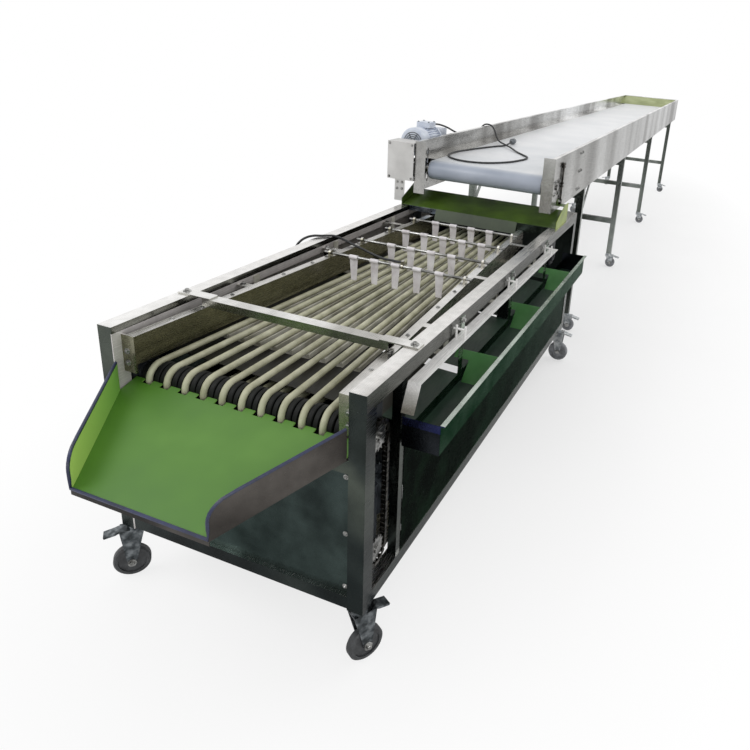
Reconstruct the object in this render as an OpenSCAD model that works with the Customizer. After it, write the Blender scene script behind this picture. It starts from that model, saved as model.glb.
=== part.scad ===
// Fruit grading machine: a diverging round-belt grader on casters, fed by a long flat-belt conveyor.
// X runs across the machine, Y along it from the discharge chute to the infeed end, Z is up.

/* [Grader frame] */
// Outer width over the two top rails
grader_w = 860; // [820:5:920]
// Length over the end posts of the grader
grader_l = 2300; // [2240:10:2400]
// Height of the top face of the rails above the floor
rail_z = 880; // [865:5:910]
// Side of the square tube of rails and end posts
tube = 50; // [46:1:54]
// Side of the square tube of the lower frame
low_tube = 40; // [32:1:44]
// Wall thickness of all square tubes
tube_wall = 2.5; // [2:0.5:4]
// Thickness of folded sheet steel
sheet = 2; // [1.5:0.5:2.5]
// Centre of the drive bay upright behind the front face
drive_post_y = 215; // [205:5:225]
// Side of the drive bay upright
drive_post = 28; // [24:1:28]
// Inset of the skirt panels from the outer faces
skirt_in = 2; // [1:0.5:4]
// Front face of the motor's cross tube behind the front face
motor_tube = 400; // [380:10:460]

/* [Sorting belts] */
// Number of round belts
belt_count = 11; // [9:2:11]
// Belt spacing at the discharge end
front_pitch = 65; // [63:0.5:66]
// Belt spacing at the infeed end
rear_pitch = 36; // [35:0.5:38]
// Rise of the rear roller above the drive shaft
bed_rise = 17; // [12:1:17]
// Diameter of a round belt
belt_d = 20; // [18:1:22]
// Radius of the belt centre line around the pulleys
loop_r = 45; // [43:1:48]
// Drop of the belt crowns below the rails
belt_drop = 128; // [124:1:132]
// Distance of the drive shaft behind the front face
front_axis_y = 110; // [109:1:116]
// Distance of the rear roller from the rear face
rear_axis_in = 320; // [300:5:340]
// Diameter of the shafts
shaft_d = 30; // [25:1:32]
// Width of one drive pulley
pulley_w = 60; // [58:0.5:62]
// Radius of the pulley lands
land_r = 46; // [43:1:48]
// Side room of a belt in its groove
groove_room = 4.2; // [4:0.1:4.6]
// Extra groove width at the mouth, each side
groove_taper = 1.5; // [1:0.25:1.5]
// Height of a belt support channel under the belt
bar_h = 12; // [8:1:14]
// Side room of a belt in its support channel
bar_room = 2; // [1:0.5:2]
// Thickness of the channel lips
bar_lip = 4.5; // [3:0.5:4.5]
// Start of the support channels behind the front face
bar_front = 365; // [340:5:400]
// Thickness of a support carrier
carrier_t = 5; // [4:0.5:6]
// Width of a support carrier
carrier_w = 30; // [24:1:36]
// Distance of the outer carriers from the middle of the grader
carrier_step = 530; // [500:5:560]

/* [Guide boards and curtains] */
// Drop of the board tops below the rails
board_drop = 30; // [27:1:34]
// Turn of the boards towards the middle over the length of the bed
board_fall = 105; // [100:1:108]
// Height of the board edge over the belt crowns
board_lift = 10; // [6:1:16]
// Width of the folded flange on a board
flange_w = 30; // [26:1:32]
// Offset of the board face outside the outer belt
board_off = 4; // [2:1:8]
// Front end of the boards behind the front face
board_front = 30; // [25:1:40]
// Distance of the first curtain row behind the front face
row_front = 980; // [975:1:985]
// Spacing of the curtain rows
row_pitch = 233; // [225:1:240]
// Diameter of a curtain rod
rod_d = 12; // [10:0.5:14]
// Width of a curtain strip
strip_w = 36; // [28:1:42]
// Spacing of the strips in a row
strip_pitch = 94; // [90:1:98]
// Thickness of a strip
strip_t = 2.5; // [1.5:0.5:3]
// Width of the cross bar along the machine
cross_w = 40; // [30:1:50]
// Height of the cross bar
cross_h = 25; // [18:1:26]
// Distance of the cross bar behind the front face
cross_y = 315; // [300:5:335]
// Thickness of the cross bar tongues
tongue_t = 4; // [3:0.5:6]

/* [Discharge chute] */
// Reach of the chute in front of the grader
chute_reach = 306; // [280:2:330]
// Width of the chute at its lip
lip_w = 416; // [390:2:440]
// Slope of the chute floor in degrees
chute_slope = 14.3; // [12:0.1:15]
// Height of the chute walls
chute_wall = 92; // [80:1:100]
// Radius of the front top corners of the chute walls
chute_corner = 42; // [30:1:50]
// Thickness of the soft lining
lining = 3; // [2:0.5:4]
// Depth of the folded lip edge
lip_h = 14; // [10:1:20]

/* [Side trough] */
// Width of the side trough
trough_w = 115; // [105:1:130]
// Depth of the side trough
trough_d = 95; // [85:1:100]
// Drop of the trough rim below the rails
trough_drop = 160; // [155:1:165]
// Front end of the trough behind the front face
trough_front = 200; // [190:5:215]
// Rear end of the trough from the rear face
trough_rear = 250; // [240:5:280]
// Width of the rim folded outwards
rim_w = 12; // [8:1:16]
// Fall of a collecting tray across the machine
tray_fall = 40; // [36:1:42]
// Length of a sloped divider along the trough
divider_run = 85; // [70:1:100]

// Gap between the right rail and the guard strip
strip_gap = 6; // [4:1:9]
// Width of the guard strip
guard_w = 38; // [34:1:42]
// Thickness of the guard strip
guard_t = 4; // [3:0.5:5]
// Drop of the guard strip below the rail tops
strip_drop = 56; // [52:1:60]
// Drop of its bent front end
strip_bend = 78; // [70:1:84]
// Lap of the strip in front of the trough
strip_lap = 25; // [20:1:30]
// Length of the strip behind the last carrier
strip_over = 40; // [30:5:60]
// Distance of its rods in front of the carriers
strip_step = 75; // [70:1:90]
// Reach of the upper part of a divider under the rail
wing_reach = 54; // [50:1:58]
// Height of that part over the trough's inner wall
wing_lift = 14; // [12:1:16]

/* [Feed conveyor] */
// Outer width over the side plates
conv_w = 750; // [730:5:760]
// Length of the side plates
conv_l = 6940; // [6900:10:7000]
// Overlap of the conveyor over the grader
conv_lap = 400; // [395:5:410]
// Height of the side plate tops above the floor
conv_top = 1213; // [1210:1:1225]
// Height of the side plates
side_h = 270; // [265:1:274]
// Drop of the belt below the side plate tops
conv_drop = 98; // [96:1:110]
// Width of the flat belt
flat_w = 610; // [580:5:615]
// Thickness of the flat belt
flat_t = 3; // [2:0.5:4]
// Diameter of the drums
drum_d = 90; // [84:1:94]
// Distance of the drums from the plate ends
drum_in = 66; // [64:1:72]
// Thickness of the side plates
plate_t = 3; // [2:0.5:4]
// Length of the head plates
head_l = 600; // [560:10:640]
// Width of the front flange of the head plates
head_flange = 60; // [50:1:62]
// Width of the folded edges of the side plates
edge_w = 20; // [15:1:24]
// Side of the leg tube
leg = 40; // [36:1:44]
// Distance of the first leg frame behind the conveyor front
leg_a = 840; // [800:10:880]
// Distance of the second leg frame
leg_b = 2410; // [2300:10:2500]
// Distance of the third leg frame
leg_c = 4260; // [4200:10:4350]
// Distance of the fourth leg frame
leg_d = 6350; // [6250:10:6450]
// Reach of the braces behind the first leg frame
brace_l = 230; // [200:5:240]
// Height of the low crossbars of the leg frames
stretcher_z = 400; // [350:10:450]
// Run of the sloped liner at the infeed end
liner_run = 350; // [300:10:400]

/* [Drives] */
// Teeth of every chain sprocket
teeth = 15; // [14:1:16]
// Chain pitch
chain_pitch = 15.875; // [15.5:0.125:16.5]
// Distance from the head drum to the feed gear unit
feed_chain = 370; // [365:1:380]
// Diameter of a gear unit's output shaft
out_d = 24; // [20:1:28]
// Height of the output shaft over the gear unit's foot
foot_h = 82; // [80:1:86]
// Height of the worm axis over the output shaft
worm_rise = 118; // [112:1:122]
// Width of the gear unit's case
case_w = 90; // [80:1:96]
// Half length of the gear unit's case
case_l = 60; // [56:1:64]
// Diameter of the motor cowl
cowl_d = 150; // [140:1:154]
// Length of the finned motor body
fin_l = 150; // [140:1:156]
// Length of the motor cowl
cowl_l = 70; // [60:1:76]

/* [Casters] */
// Height of a grader caster with its plate
caster_h = 200; // [190:1:205]
// Diameter of a grader caster wheel
wheel_d = 110; // [100:1:120]
// Height of a feed conveyor caster with its plate
feed_caster_h = 125; // [120:1:130]
// Diameter of a feed conveyor caster wheel
feed_wheel_d = 80; // [70:1:84]
// Width of the caster wheels
wheel_w = 30; // [24:1:34]
// Offset of a wheel axle behind its swivel axis
trail = 20; // [14:1:28]
// Diameter of the caster axles
axle_d = 12; // [10:1:14]
// Thickness of a fork cheek
cheek_t = 4; // [3:0.5:5]
// Thickness of the caster plates
caster_plate = 6; // [4:0.5:8]

/* [Hidden] */
$fn = 48;

// Clearances shared by everything that seats, welds or turns
weld = 0.2;
seat = 0.3;
run = 0.05;

// Grader levels and faces
half_w = grader_w / 2;
rail_in = half_w - tube;
rail_bottom = rail_z - tube;
frame_z = caster_h;
low_top = frame_z + low_tube;
cap_t = 2;
belt_top = rail_z - belt_drop;
axis_z = belt_top - belt_d / 2 - loop_r;
run_bottom = axis_z + loop_r - belt_d / 2;
rear_axis_y = grader_l - rear_axis_in;
mid_y = grader_l / 2;
skirt_face = half_w - skirt_in - sheet;
belt_run = rear_axis_y - front_axis_y;
rear_axis_z = axis_z + bed_rise;

// Belt supports and trays
bar_top = run_bottom - seat;
carrier_top = bar_top - bar_h;
bar_rear = rear_axis_y - loop_r - belt_d;
carriers = [mid_y - carrier_step, mid_y, mid_y + carrier_step];
tray_gap = low_tube / 2 + 5;
bay_end = drive_post_y + drive_post / 2 + seat;
tray_front = bay_end - seat + 10;
tray_rear = bar_rear - 40;
tray_left_z = carrier_top - carrier_t - 3;
tray_right_z = tray_left_z - tray_fall;
tray_left = -(skirt_face - seat);
tray_right = half_w + seat + sheet + 4;
tray_lip = 32;

// Guide boards, curtain rods and cross bar
board_top = rail_z - board_drop;
board_bottom = belt_top + board_lift;
board_rear = rear_axis_y - 130;
board_turn = atan2(board_fall, belt_run);
rod_z = board_top + rod_d / 2 + 5.5;
collar_r = rod_d / 2 + 6;
strip_counts = [5, 4, 5, 4];

// Chute
chute_z = axis_z - 14;
lip_z = chute_z - chute_reach * tan(chute_slope);
throat = rail_in - 4;
sill_top = chute_z - sheet - seat;
comb_y = front_axis_y - loop_r - belt_d / 2 + 8;
comb_depth = 16;

// Trough
trough_x = half_w + seat;
trough_top = rail_z - trough_drop;
trough_floor = trough_top - trough_d;
trough_end = grader_l - trough_rear;
trough_out = trough_x + trough_w;

// Conveyor
conv_half = conv_w / 2;
conv_front = grader_l - conv_lap;
conv_end = conv_front + conv_l;
conv_bottom = conv_top - side_h;
belt_z = conv_top - conv_drop;
drum_z = belt_z - flat_t - seat - drum_d / 2;
head_y = conv_front + drum_in;
tail_y = conv_end - drum_in - 24;
leg_x = conv_half - leg / 2 - 2;
leg_rows = [conv_front + leg_a, conv_front + leg_b, conv_front + leg_c, conv_front + leg_d];
head_end = conv_front + head_l;

// Chains and gear units
pitch_r = chain_pitch / (2 * sin(180 / teeth));
tip_r = pitch_r + 3;
root_r = pitch_r - 5;
link_r = 6.8;
roller_r = 5;
chain_r = tip_r + seat + roller_r;
sprocket_t = 7;
link_t = 2;
link_gap = sprocket_t / 2 + seat;
motor_plate_t = 6;
motor_z = low_top + seat + motor_plate_t + seat + foot_h;
chain_x = half_w - 25;
case_face = chain_x - 30;
feed_y = head_y + feed_chain;
feed_chain_x = -(conv_half + 20);
feed_face = feed_chain_x - 20;

// Casters: swivel axes of the grader corners and of the leg frames, and the way each one trails
grader_casters = [for (y = [tube / 2, grader_l - tube / 2], s = [-1, 1]) [s * (half_w - tube / 2), y]];
feed_casters = [for (y = leg_rows, s = [-1, 1]) [s * leg_x, y]];
grader_turns = [225, 60, 180, 0];
feed_turns = [for (y = leg_rows) each [180, 0]];

// The origin is at floor level under the middle of the box round the whole machine
mid_x = (trough_out + rim_w - (case_w / 2 - feed_face + cowl_d / 2)) / 2;
origin_y = (conv_end - chute_reach) / 2;

// Routes of the two leads, chosen by hand, along their centre lines
lead_d = 10;
lead_route = [
  [-440, 2268.8, 1263.9], [-439.5, 2300, 1262.5], [-433, 2350, 1255], [-417, 2410, 1238], [-398, 2475, 1212],
  [-385, 2545, 1192], [-381, 2600, 1184.2], [-381, 2680, 1184], [-381, 2760, 1184], [-381.5, 2830, 1189],
  [-382, 2890, 1203], [-382, 2930, 1216], [-376, 2953, 1221.5], [-360, 2970, 1221], [-341, 2978, 1213],
  [-320, 2970, 1195],
  [-298, 2945, 1170], [-268, 2900, 1146], [-230, 2848, 1134], [-183, 2790, 1131.5], [-112, 2705, 1127],
  [-42, 2608, 1121], [25, 2520, 1120.5], [70, 2455, 1120.5], [82, 2385, 1120.5], [70, 2300, 1120.5],
  [38, 2195, 1120.5], [-14, 2110, 1120.5], [-78, 2058, 1120.5], [-150, 2044, 1120.5], [-220, 2068, 1120.5],
  [-276, 2122, 1120.5], [-306, 2200, 1120.5], [-312, 2300, 1120.5], [-296, 2420, 1120.5],
  [-268, 2545, 1120.5], [-236, 2665, 1120.5], [-210, 2740, 1120.5], [-188, 2800, 1120.5],
  [-178, 2860, 1126], [-179, 2915, 1133.3]
];
cable_route = [
  [-449.3, 1000, 790], [-466, 1000, 790], [-482, 1003.5, 799], [-490, 1010, 818], [-490, 1020, 842],
  [-480, 1034, 864], [-462, 1052, 880], [-440, 1072, 887], [-415, 1096, 885.6], [-393, 1114, 885.6],
  [-373, 1127, 885], [-350, 1138, 877.5], [-318, 1145, 865], [-285, 1142, 857], [-240, 1126, 853],
  [-190, 1100, 852], [-140, 1070, 854], [-90, 1036, 860], [-48, 1008, 869], [-16, 988, 876], [6, 981, 878],
  [25.7, 981, 878]
];
clip_x = 30;
plug_r = 18;
plug_l = 58;
plug_gap = 0.8;
lead_rests = [lead_route[6][1], lead_route[8][1]];
lead_rest_z = lead_route[8][2];

steel = "silver";
bright = "gainsboro";
dark = "dimgray";
green = "forestgreen";
black = "#202224";

// Everything below is drawn in machine coordinates and moved to the origin here
module placed() {
  translate([-mid_x, -origin_y, 0]) children();
}

module both_sides() {
  children();
  mirror([1, 0, 0]) children();
}

module block(x0, x1, y0, y1, z0, z1) {
  translate([x0, y0, z0]) cube([x1 - x0, y1 - y0, z1 - z0]);
}

// An outline in the Y-Z plane, given thickness from x0 to x1
module side_view(x0, x1) {
  translate([x0, 0, 0]) rotate([90, 0, 90]) linear_extrude(x1 - x0) children();
}

// An outline in the X-Z plane, given thickness from y0 to y1
module end_view(y0, y1) {
  translate([0, y1, 0]) rotate([90, 0, 0]) linear_extrude(y1 - y0) children();
}

// Square tubes by their outer faces
module tube_along_y(x, y0, y1, z, side) {
  difference() {
    block(x, x + side, y0, y1, z, z + side);
    block(x + tube_wall, x + side - tube_wall, y0 - 1, y1 + 1, z + tube_wall, z + side - tube_wall);
  }
}

module tube_along_x(x0, x1, y, z, side) {
  difference() {
    block(x0, x1, y, y + side, z, z + side);
    block(x0 - 1, x1 + 1, y + tube_wall, y + side - tube_wall, z + tube_wall, z + side - tube_wall);
  }
}

module tube_upright(x, y, z0, z1, side) {
  difference() {
    block(x, x + side, y, y + side, z0, z1);
    block(x + tube_wall, x + side - tube_wall, y + tube_wall, y + side - tube_wall, z0 - 1, z1 + 1);
  }
}

// A round bar along X
module rod_x(x0, x1, d) {
  translate([x0, 0, 0]) rotate([0, 90, 0]) cylinder(d = d, h = x1 - x0);
}

module grader_frame() {
  low_x = half_w - low_tube;
  post_side = skirt_face - seat - low_tube;
  color(steel) placed() {
    both_sides() {
      tube_along_y(rail_in, cap_t + weld, grader_l - cap_t - weld, rail_bottom, tube);
      block(rail_in, half_w, 0, cap_t, rail_bottom, rail_z);
      block(rail_in, half_w, grader_l - cap_t, grader_l, rail_bottom, rail_z);
      for (y = [0, grader_l - tube])
        tube_upright(rail_in, y, frame_z, rail_bottom - weld, tube);
      tube_along_y(low_x, tube + weld, grader_l - tube - weld, frame_z, low_tube);
      tube_upright(post_side, mid_y - low_tube / 2, low_top + weld, rail_bottom - weld, low_tube);
    }
    for (y = [0, grader_l - low_tube])
      tube_along_x(-rail_in + weld, rail_in - weld, y, frame_z, low_tube);
    tube_along_x(-rail_in + weld, rail_in - weld, 0, sill_top - low_tube, low_tube);
    tube_along_x(-rail_in + weld, rail_in - weld, grader_l - tube, rail_bottom, tube);
    tube_along_x(-low_x + weld, low_x - weld, motor_tube, frame_z, low_tube);
    tube_upright(skirt_face - seat - drive_post, drive_post_y - drive_post / 2,
      low_top + weld, rail_bottom - weld, drive_post);
    motor_plate();
    for (p = grader_casters)
      caster_pad(p, caster_h, tube);
  }
}

// Plate under the grader's gear unit, carried by the front tube and the motor cross tube
module motor_plate() {
  block(case_face - case_w - 40, rail_in - 2, low_tube / 2, motor_tube + low_tube, low_top + seat,
    low_top + seat + motor_plate_t);
}

// The fixed plate of a caster, welded under its post
module caster_pad(p, h, side) {
  translate([p[0] - side / 2, p[1] - side / 2, h - caster_plate - weld])
    cube([side, side, caster_plate]);
}

module skirt_panels() {
  color(dark) placed() {
    block(-rail_in + seat, rail_in - seat, 14, 14 + sheet, low_top + seat, sill_top - low_tube - seat);
    block(-rail_in + seat, rail_in - seat, grader_l - 14 - sheet, grader_l - 14, low_top + seat,
      rail_bottom - seat);
    block(-skirt_face - sheet, -skirt_face, tube + seat, grader_l - tube - seat, low_top + seat,
      rail_bottom - seat);
    block(skirt_face, skirt_face + sheet, bay_end, grader_l - tube - seat, low_top + seat,
      trough_floor - 2 * sheet);
    cable_gland();
  }
}

// Gland where the curtain cable leaves the left skirt
module cable_gland() {
  skirt_out = half_w - skirt_in;
  gland_l = abs(cable_route[0][0]) - skirt_out - weld - seat;
  translate([-skirt_out - weld, cable_route[0][1], cable_route[0][2]])
    rotate([0, -90, 0]) gland(gland_l);
}

// A cable gland along Z: hexagon, dome and tapered sleeve
module gland(l) {
  cylinder(d = 24, h = l * 0.4, $fn = 6);
  translate([0, 0, l * 0.4]) cylinder(d1 = 20, d2 = lead_d + 4, h = l * 0.6);
}

// Plan of the chute between the posts and out to the lip, inset by a margin
function chute_plan(inset, front, back) = [
  [lip_w / 2 - inset, -chute_reach + front], [throat - inset, -seat], [throat - inset, back],
  [-throat + inset, back], [-throat + inset, -seat], [-lip_w / 2 + inset, -chute_reach + front]
];

// Side view of the chute walls from one height over the floor to another
function chute_profile(low, high, corner, front) = let (
  y0 = -chute_reach + front,
  base = lip_z + front * tan(chute_slope),
  top = base + high - corner
) concat(
  [[-seat, chute_z - seat * tan(chute_slope) + low], [y0, base + low], [y0, top]],
  [for (a = [15:15:75]) [y0 + corner * (1 - cos(a)), top + corner * (sin(a) + 0.25 * (1 - cos(a)))]],
  [[y0 + corner, base + high + corner * tan(chute_slope)], [-seat, chute_z + high]]
);

// A slab parallel to the chute floor, between two heights over it
module chute_slab(low, high) {
  reach = chute_reach + 10;
  back = front_axis_y;
  drop = tan(chute_slope);
  side_view(-half_w, half_w) polygon([
    [-reach, chute_z - reach * drop + low], [back, chute_z + back * drop + low],
    [back, chute_z + back * drop + high], [-reach, chute_z - reach * drop + high]
  ]);
}

// Slots in the rear edge of the chute floor, one for each belt
module comb_cuts() {
  slot_w = belt_d + 12;
  for (i = [0:belt_count - 1])
    block(belt_x(i, front_pitch) - slot_w / 2, belt_x(i, front_pitch) + slot_w / 2,
      comb_y - comb_depth, comb_y + 20, chute_z - 40, chute_z + 60);
}

module chute_floor(low, high, inset, front) {
  difference() {
    intersection() {
      translate([0, 0, lip_z - 50]) linear_extrude(chute_wall + 200)
        polygon(chute_plan(inset, front, comb_y));
      chute_slab(low, high);
    }
    comb_cuts();
  }
}

// One wall: a strip along the right side of the plan, cut to the side profile
module chute_side(inset, thick, low, high, corner, front) {
  intersection() {
    translate([0, 0, lip_z - 50]) linear_extrude(chute_z - lip_z + chute_wall + 100) polygon([
      [throat - inset, -seat], [lip_w / 2 - inset, -chute_reach],
      [lip_w / 2 - inset - thick, -chute_reach], [throat - inset - thick, -seat]
    ]);
    side_view(0, half_w) polygon(chute_profile(low, high, corner, front));
  }
}

module chute_shell() {
  color(steel) placed() {
    chute_floor(-sheet, 0, 0, 0);
    both_sides() chute_side(0, sheet, weld, chute_wall, chute_corner, 0);
    block(-lip_w / 2, lip_w / 2, -chute_reach, -chute_reach + sheet, lip_z - lip_h, lip_z - sheet - weld);
  }
}

module chute_lining() {
  gap = sheet + weld;
  color(green) placed() {
    chute_floor(weld, weld + lining, gap, weld);
    both_sides() chute_side(gap, lining, 2 * weld + lining, chute_wall - 4, chute_corner - 3, 3);
  }
}

module cross_bar() {
  bar_end = rail_in - 50;
  color(bright) placed() {
    difference() {
      block(-bar_end, bar_end, cross_y - cross_w / 2, cross_y + cross_w / 2, rail_z - cross_h, rail_z);
      block(-bar_end - 1, bar_end + 1, cross_y - cross_w / 2 + tube_wall, cross_y + cross_w / 2 - tube_wall,
        rail_z - cross_h + tube_wall, rail_z - tube_wall);
    }
    both_sides() difference() {
      block(bar_end - 30, half_w - 5, cross_y - cross_w / 2, cross_y + cross_w / 2,
        rail_z + weld, rail_z + weld + tongue_t);
      translate([half_w - tube / 2, cross_y, rail_z - 1]) cylinder(d = 9, h = tongue_t + 4);
    }
  }
}

// X of belt i at a spacing, and of the right board's inner face at distance y
function belt_x(i, pitch) = (i - (belt_count - 1) / 2) * pitch;
function board_x(y) = belt_x(belt_count - 1, front_pitch) + board_off
  - (y - front_axis_y) * tan(board_turn);
function row_y(k) = row_front + k * row_pitch;
// Rise of the bed at distance y
function rise(y) = (y - front_axis_y) * bed_rise / belt_run;

module guide_boards() {
  color(bright) placed() {
    both_sides() union() {
      guide_board();
      for (k = [0:3]) rod_collar(row_y(k));
      for (y = carriers) board_tab(y - 90);
      block(board_x(board_front) + 1, rail_in - seat, board_front, board_front + 6, belt_top - 18, board_top);
    }
    cable_clip();
  }
}

// A folded sheet that follows the outer belt: upright wall, flange on top and a skirt outside
module guide_board() {
  board_l = (board_rear - board_front) / cos(board_turn);
  translate([board_x(board_front), board_front, 0]) rotate([0, 0, board_turn])
    translate([0, board_l, 0]) rotate([90, 0, 0]) linear_extrude(board_l) polygon([
      [0, board_bottom], [sheet, board_bottom], [sheet, board_top - sheet],
      [flange_w - sheet, board_top - sheet], [flange_w - sheet, board_bottom + board_lift],
      [flange_w, board_bottom + board_lift], [flange_w, board_top], [0, board_top]
    ]);
}

// Collar on the flange, in which a curtain rod turns
module rod_collar(y) {
  x = board_x(y) + flange_w / 2;
  translate([x - 5, y, rod_z]) difference() {
    union() {
      rod_x(0, 10, 2 * collar_r);
      block(0, 10, -collar_r, collar_r, board_top - rod_z - sheet / 2, 0);
    }
    rod_x(-1, 11, rod_d + 2 * run);
  }
}

// Tab from the board's flange to the rail
module board_tab(y) {
  block(board_x(y) + flange_w / 2, rail_in - seat, y - 15, y + 15, board_top - sheet, board_top);
}

// Ring on the first curtain rod that holds the end of the curtain cable
module cable_clip() {
  end = cable_route[len(cable_route) - 1];
  translate([clip_x - 4, row_y(0), rod_z]) difference() {
    union() {
      rod_x(0, 8, rod_d + 8);
      block(0, 8, end[1] - row_y(0) - 7, end[1] - row_y(0) + 7, 4, end[2] - rod_z + 7);
    }
    rod_x(-1, 9, rod_d + 2 * seat);
  }
}

// Flat outline of a sprocket with straight-sided teeth
function sprocket_outline() = [
  for (i = [0:teeth - 1], c = [[root_r, -0.32], [tip_r, -0.11], [tip_r, 0.11], [root_r, 0.32]])
    let (a = 360 * (i + c[1]) / teeth) c[0] * [cos(a), sin(a)]
];

// A sprocket centred on the X axis at x
module sprocket(x) {
  translate([x - sprocket_t / 2, 0, 0]) rotate([90, 0, 90]) linear_extrude(sprocket_t)
    polygon(sprocket_outline());
}

module drive_shaft() {
  color(steel) placed() translate([0, front_axis_y, axis_z]) {
    rod_x(-rail_in - 14, chain_x + 12, shaft_d);
    sprocket(chain_x);
  }
}

// Groove outline round belt position x, on the lands' radius
function groove(x) = let (w = belt_d / 2 + groove_room, r = loop_r - belt_d / 2 - seat) [
  [land_r, x - w - groove_taper], [r, x - w], [r, x + w], [land_r, x + w + groove_taper]
];

module drive_pulleys() {
  h = pulley_w / 2;
  bore = shaft_d / 2 + run;
  color(black) placed() translate([0, front_axis_y, axis_z])
    for (i = [0:belt_count - 1])
      translate([belt_x(i, front_pitch), 0, 0]) rotate([0, 90, 0]) rotate_extrude()
        polygon(concat([[bore, -h], [land_r - 2, -h], [land_r, -h + 2]], groove(0),
          [[land_r, h - 2], [land_r - 2, h], [bore, h]]));
}

// One grooved roller with its journals
module rear_roller() {
  h = belt_x(belt_count - 1, rear_pitch) + pulley_w / 2;
  j = rail_in + 14;
  r = shaft_d / 2;
  color(black) placed() translate([0, rear_axis_y, rear_axis_z]) rotate([0, 90, 0]) rotate_extrude()
    polygon(concat([[0, -j], [r, -j], [r, -h], [land_r, -h]],
      [for (i = [0:belt_count - 1]) each groove(belt_x(i, rear_pitch))],
      [[land_r, h], [r, h], [r, j], [0, j]]));
}

// Round belts: two straight runs and a half ring at each end, in the belt's own plane
module belt_loop(l) {
  for (z = [-loop_r, loop_r])
    translate([0, 0, z]) rotate([-90, 0, 0]) cylinder(d = belt_d, h = l);
  translate([0, l, 0]) half_ring(0);
  half_ring(180);
}

module half_ring(turn) {
  rotate([0, -90, 0]) rotate([0, 0, turn]) rotate_extrude(angle = 180)
    translate([loop_r, 0]) circle(d = belt_d);
}

module along_belt(i) {
  fall = belt_x(i, front_pitch) - belt_x(i, rear_pitch);
  translate([belt_x(i, front_pitch), front_axis_y, axis_z]) rotate([0, 0, atan2(fall, belt_run)])
    rotate([atan2(bed_rise, norm([fall, belt_run])), 0, 0]) translate([0, 0, -axis_z]) children();
}

module sorting_belts() {
  color("lightgray") placed()
    for (i = [0:belt_count - 1]) {
      fall = belt_x(i, front_pitch) - belt_x(i, rear_pitch);
      along_belt(i) translate([0, 0, axis_z]) belt_loop(norm([fall, belt_run, bed_rise]));
    }
}

// Channel under one belt, with a low lip on each side
module support_channel(y0, y1) {
  w = belt_d / 2 + bar_room;
  lip_top = run_bottom + belt_d / 6;
  end_view(y0, y1) polygon([
    [-w - bar_lip, carrier_top], [w + bar_lip, carrier_top], [w + bar_lip, lip_top], [w, lip_top],
    [w, bar_top], [-w, bar_top], [-w, lip_top], [-w - bar_lip, lip_top]
  ]);
}

module belt_supports() {
  in = rail_in - seat;
  color(steel) placed() {
    for (i = [0:belt_count - 1])
      along_belt(i) support_channel(bar_front - front_axis_y, bar_rear - front_axis_y);
    for (y = carriers) {
      top = carrier_top + rise(y - carrier_w / 2);
      block(-in + carrier_t + weld, in - carrier_t - weld, y - carrier_w / 2, y + carrier_w / 2,
        top - carrier_t, top - weld);
      both_sides() block(in - carrier_t, in, y - carrier_w / 2, y + carrier_w / 2,
        top - carrier_t, rail_z - tube / 2);
    }
  }
}

// Hanger plate with a bearing boss, under a rail
module hanger_bearing(y, z) {
  plate = 8;
  reach = 48;
  x0 = rail_in + 2;
  difference() {
    union() {
      side_view(x0, x0 + plate) polygon([
        [y - reach, rail_bottom - seat], [y - reach, z], [y - 28, z - reach],
        [y + 28, z - reach], [y + reach, z], [y + reach, rail_bottom - seat]
      ]);
      translate([x0 - 8, y, z]) rod_x(0, plate + 16, shaft_d + 34);
    }
    translate([x0 - 10, y, z]) rod_x(0, plate + 20, shaft_d + 2 * run);
  }
}

// Square flanged bearing inside a conveyor side plate
module flange_bearing(y) {
  reach = 42;
  x1 = conv_half - plate_t - seat;
  difference() {
    union() {
      block(x1 - 9, x1, y - reach, y + reach, drum_z - reach, drum_z + reach - 6);
      translate([x1 - 26, y, drum_z]) rod_x(0, 20, shaft_d + 32);
    }
    translate([x1 - 30, y, drum_z]) rod_x(0, 40, shaft_d + 2 * run);
  }
}

module bearing_units() {
  color(dark) placed() both_sides() {
    hanger_bearing(front_axis_y, axis_z);
    hanger_bearing(rear_axis_y, rear_axis_z);
    for (y = [head_y, tail_y]) flange_bearing(y);
  }
}

// Point at distance s along a chain round two equal sprockets, c apart along local x
function chain_point(s, c) =
  s < c ? [s, chain_r] :
  s < c + PI * chain_r ?
    let (a = 90 - (s - c) / chain_r * 180 / PI) [c + chain_r * cos(a), chain_r * sin(a)] :
  s < 2 * c + PI * chain_r ? [2 * c + PI * chain_r - s, -chain_r] :
  let (a = 270 - (s - 2 * c - PI * chain_r) / chain_r * 180 / PI) chain_r * [cos(a), sin(a)];

// Outline of a link plate between two pins
module link_outline(p, q, r) {
  translate(p) rotate(atan2(q[1] - p[1], q[0] - p[0])) {
    circle(r, $fn = 24);
    translate([norm(q - p), 0]) circle(r, $fn = 24);
    translate([0, -r * 0.8]) square([norm(q - p), 1.6 * r]);
  }
}

// Inner link: two plates beside the sprocket, on a roller at each pin
module inner_link(p, q) {
  for (z = [-link_gap - link_t, link_gap])
    translate([0, 0, z]) linear_extrude(link_t) link_outline(p, q, link_r - 0.5);
  for (c = [p, q])
    translate([c[0], c[1], -link_gap]) cylinder(r = roller_r, h = 2 * link_gap, $fn = 24);
}

// Outer link: two plates over the ends of the inner links
module outer_link(p, q) {
  z0 = link_gap + link_t + weld;
  for (z = [-z0 - link_t, z0])
    translate([0, 0, z]) linear_extrude(link_t) link_outline(p, q, link_r);
}

// Roller chain in the local x-y plane, inner and outer links in turn
module roller_chain(c) {
  loop = 2 * c + 2 * PI * chain_r;
  links = 2 * round(loop / chain_pitch / 2);
  step = loop / links;
  for (i = [0:links - 1]) {
    p = chain_point(i * step, c);
    q = chain_point((i + 1) % links * step, c);
    if (i % 2 == 0)
      inner_link(p, q);
    else
      outer_link(p, q);
  }
}

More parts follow.
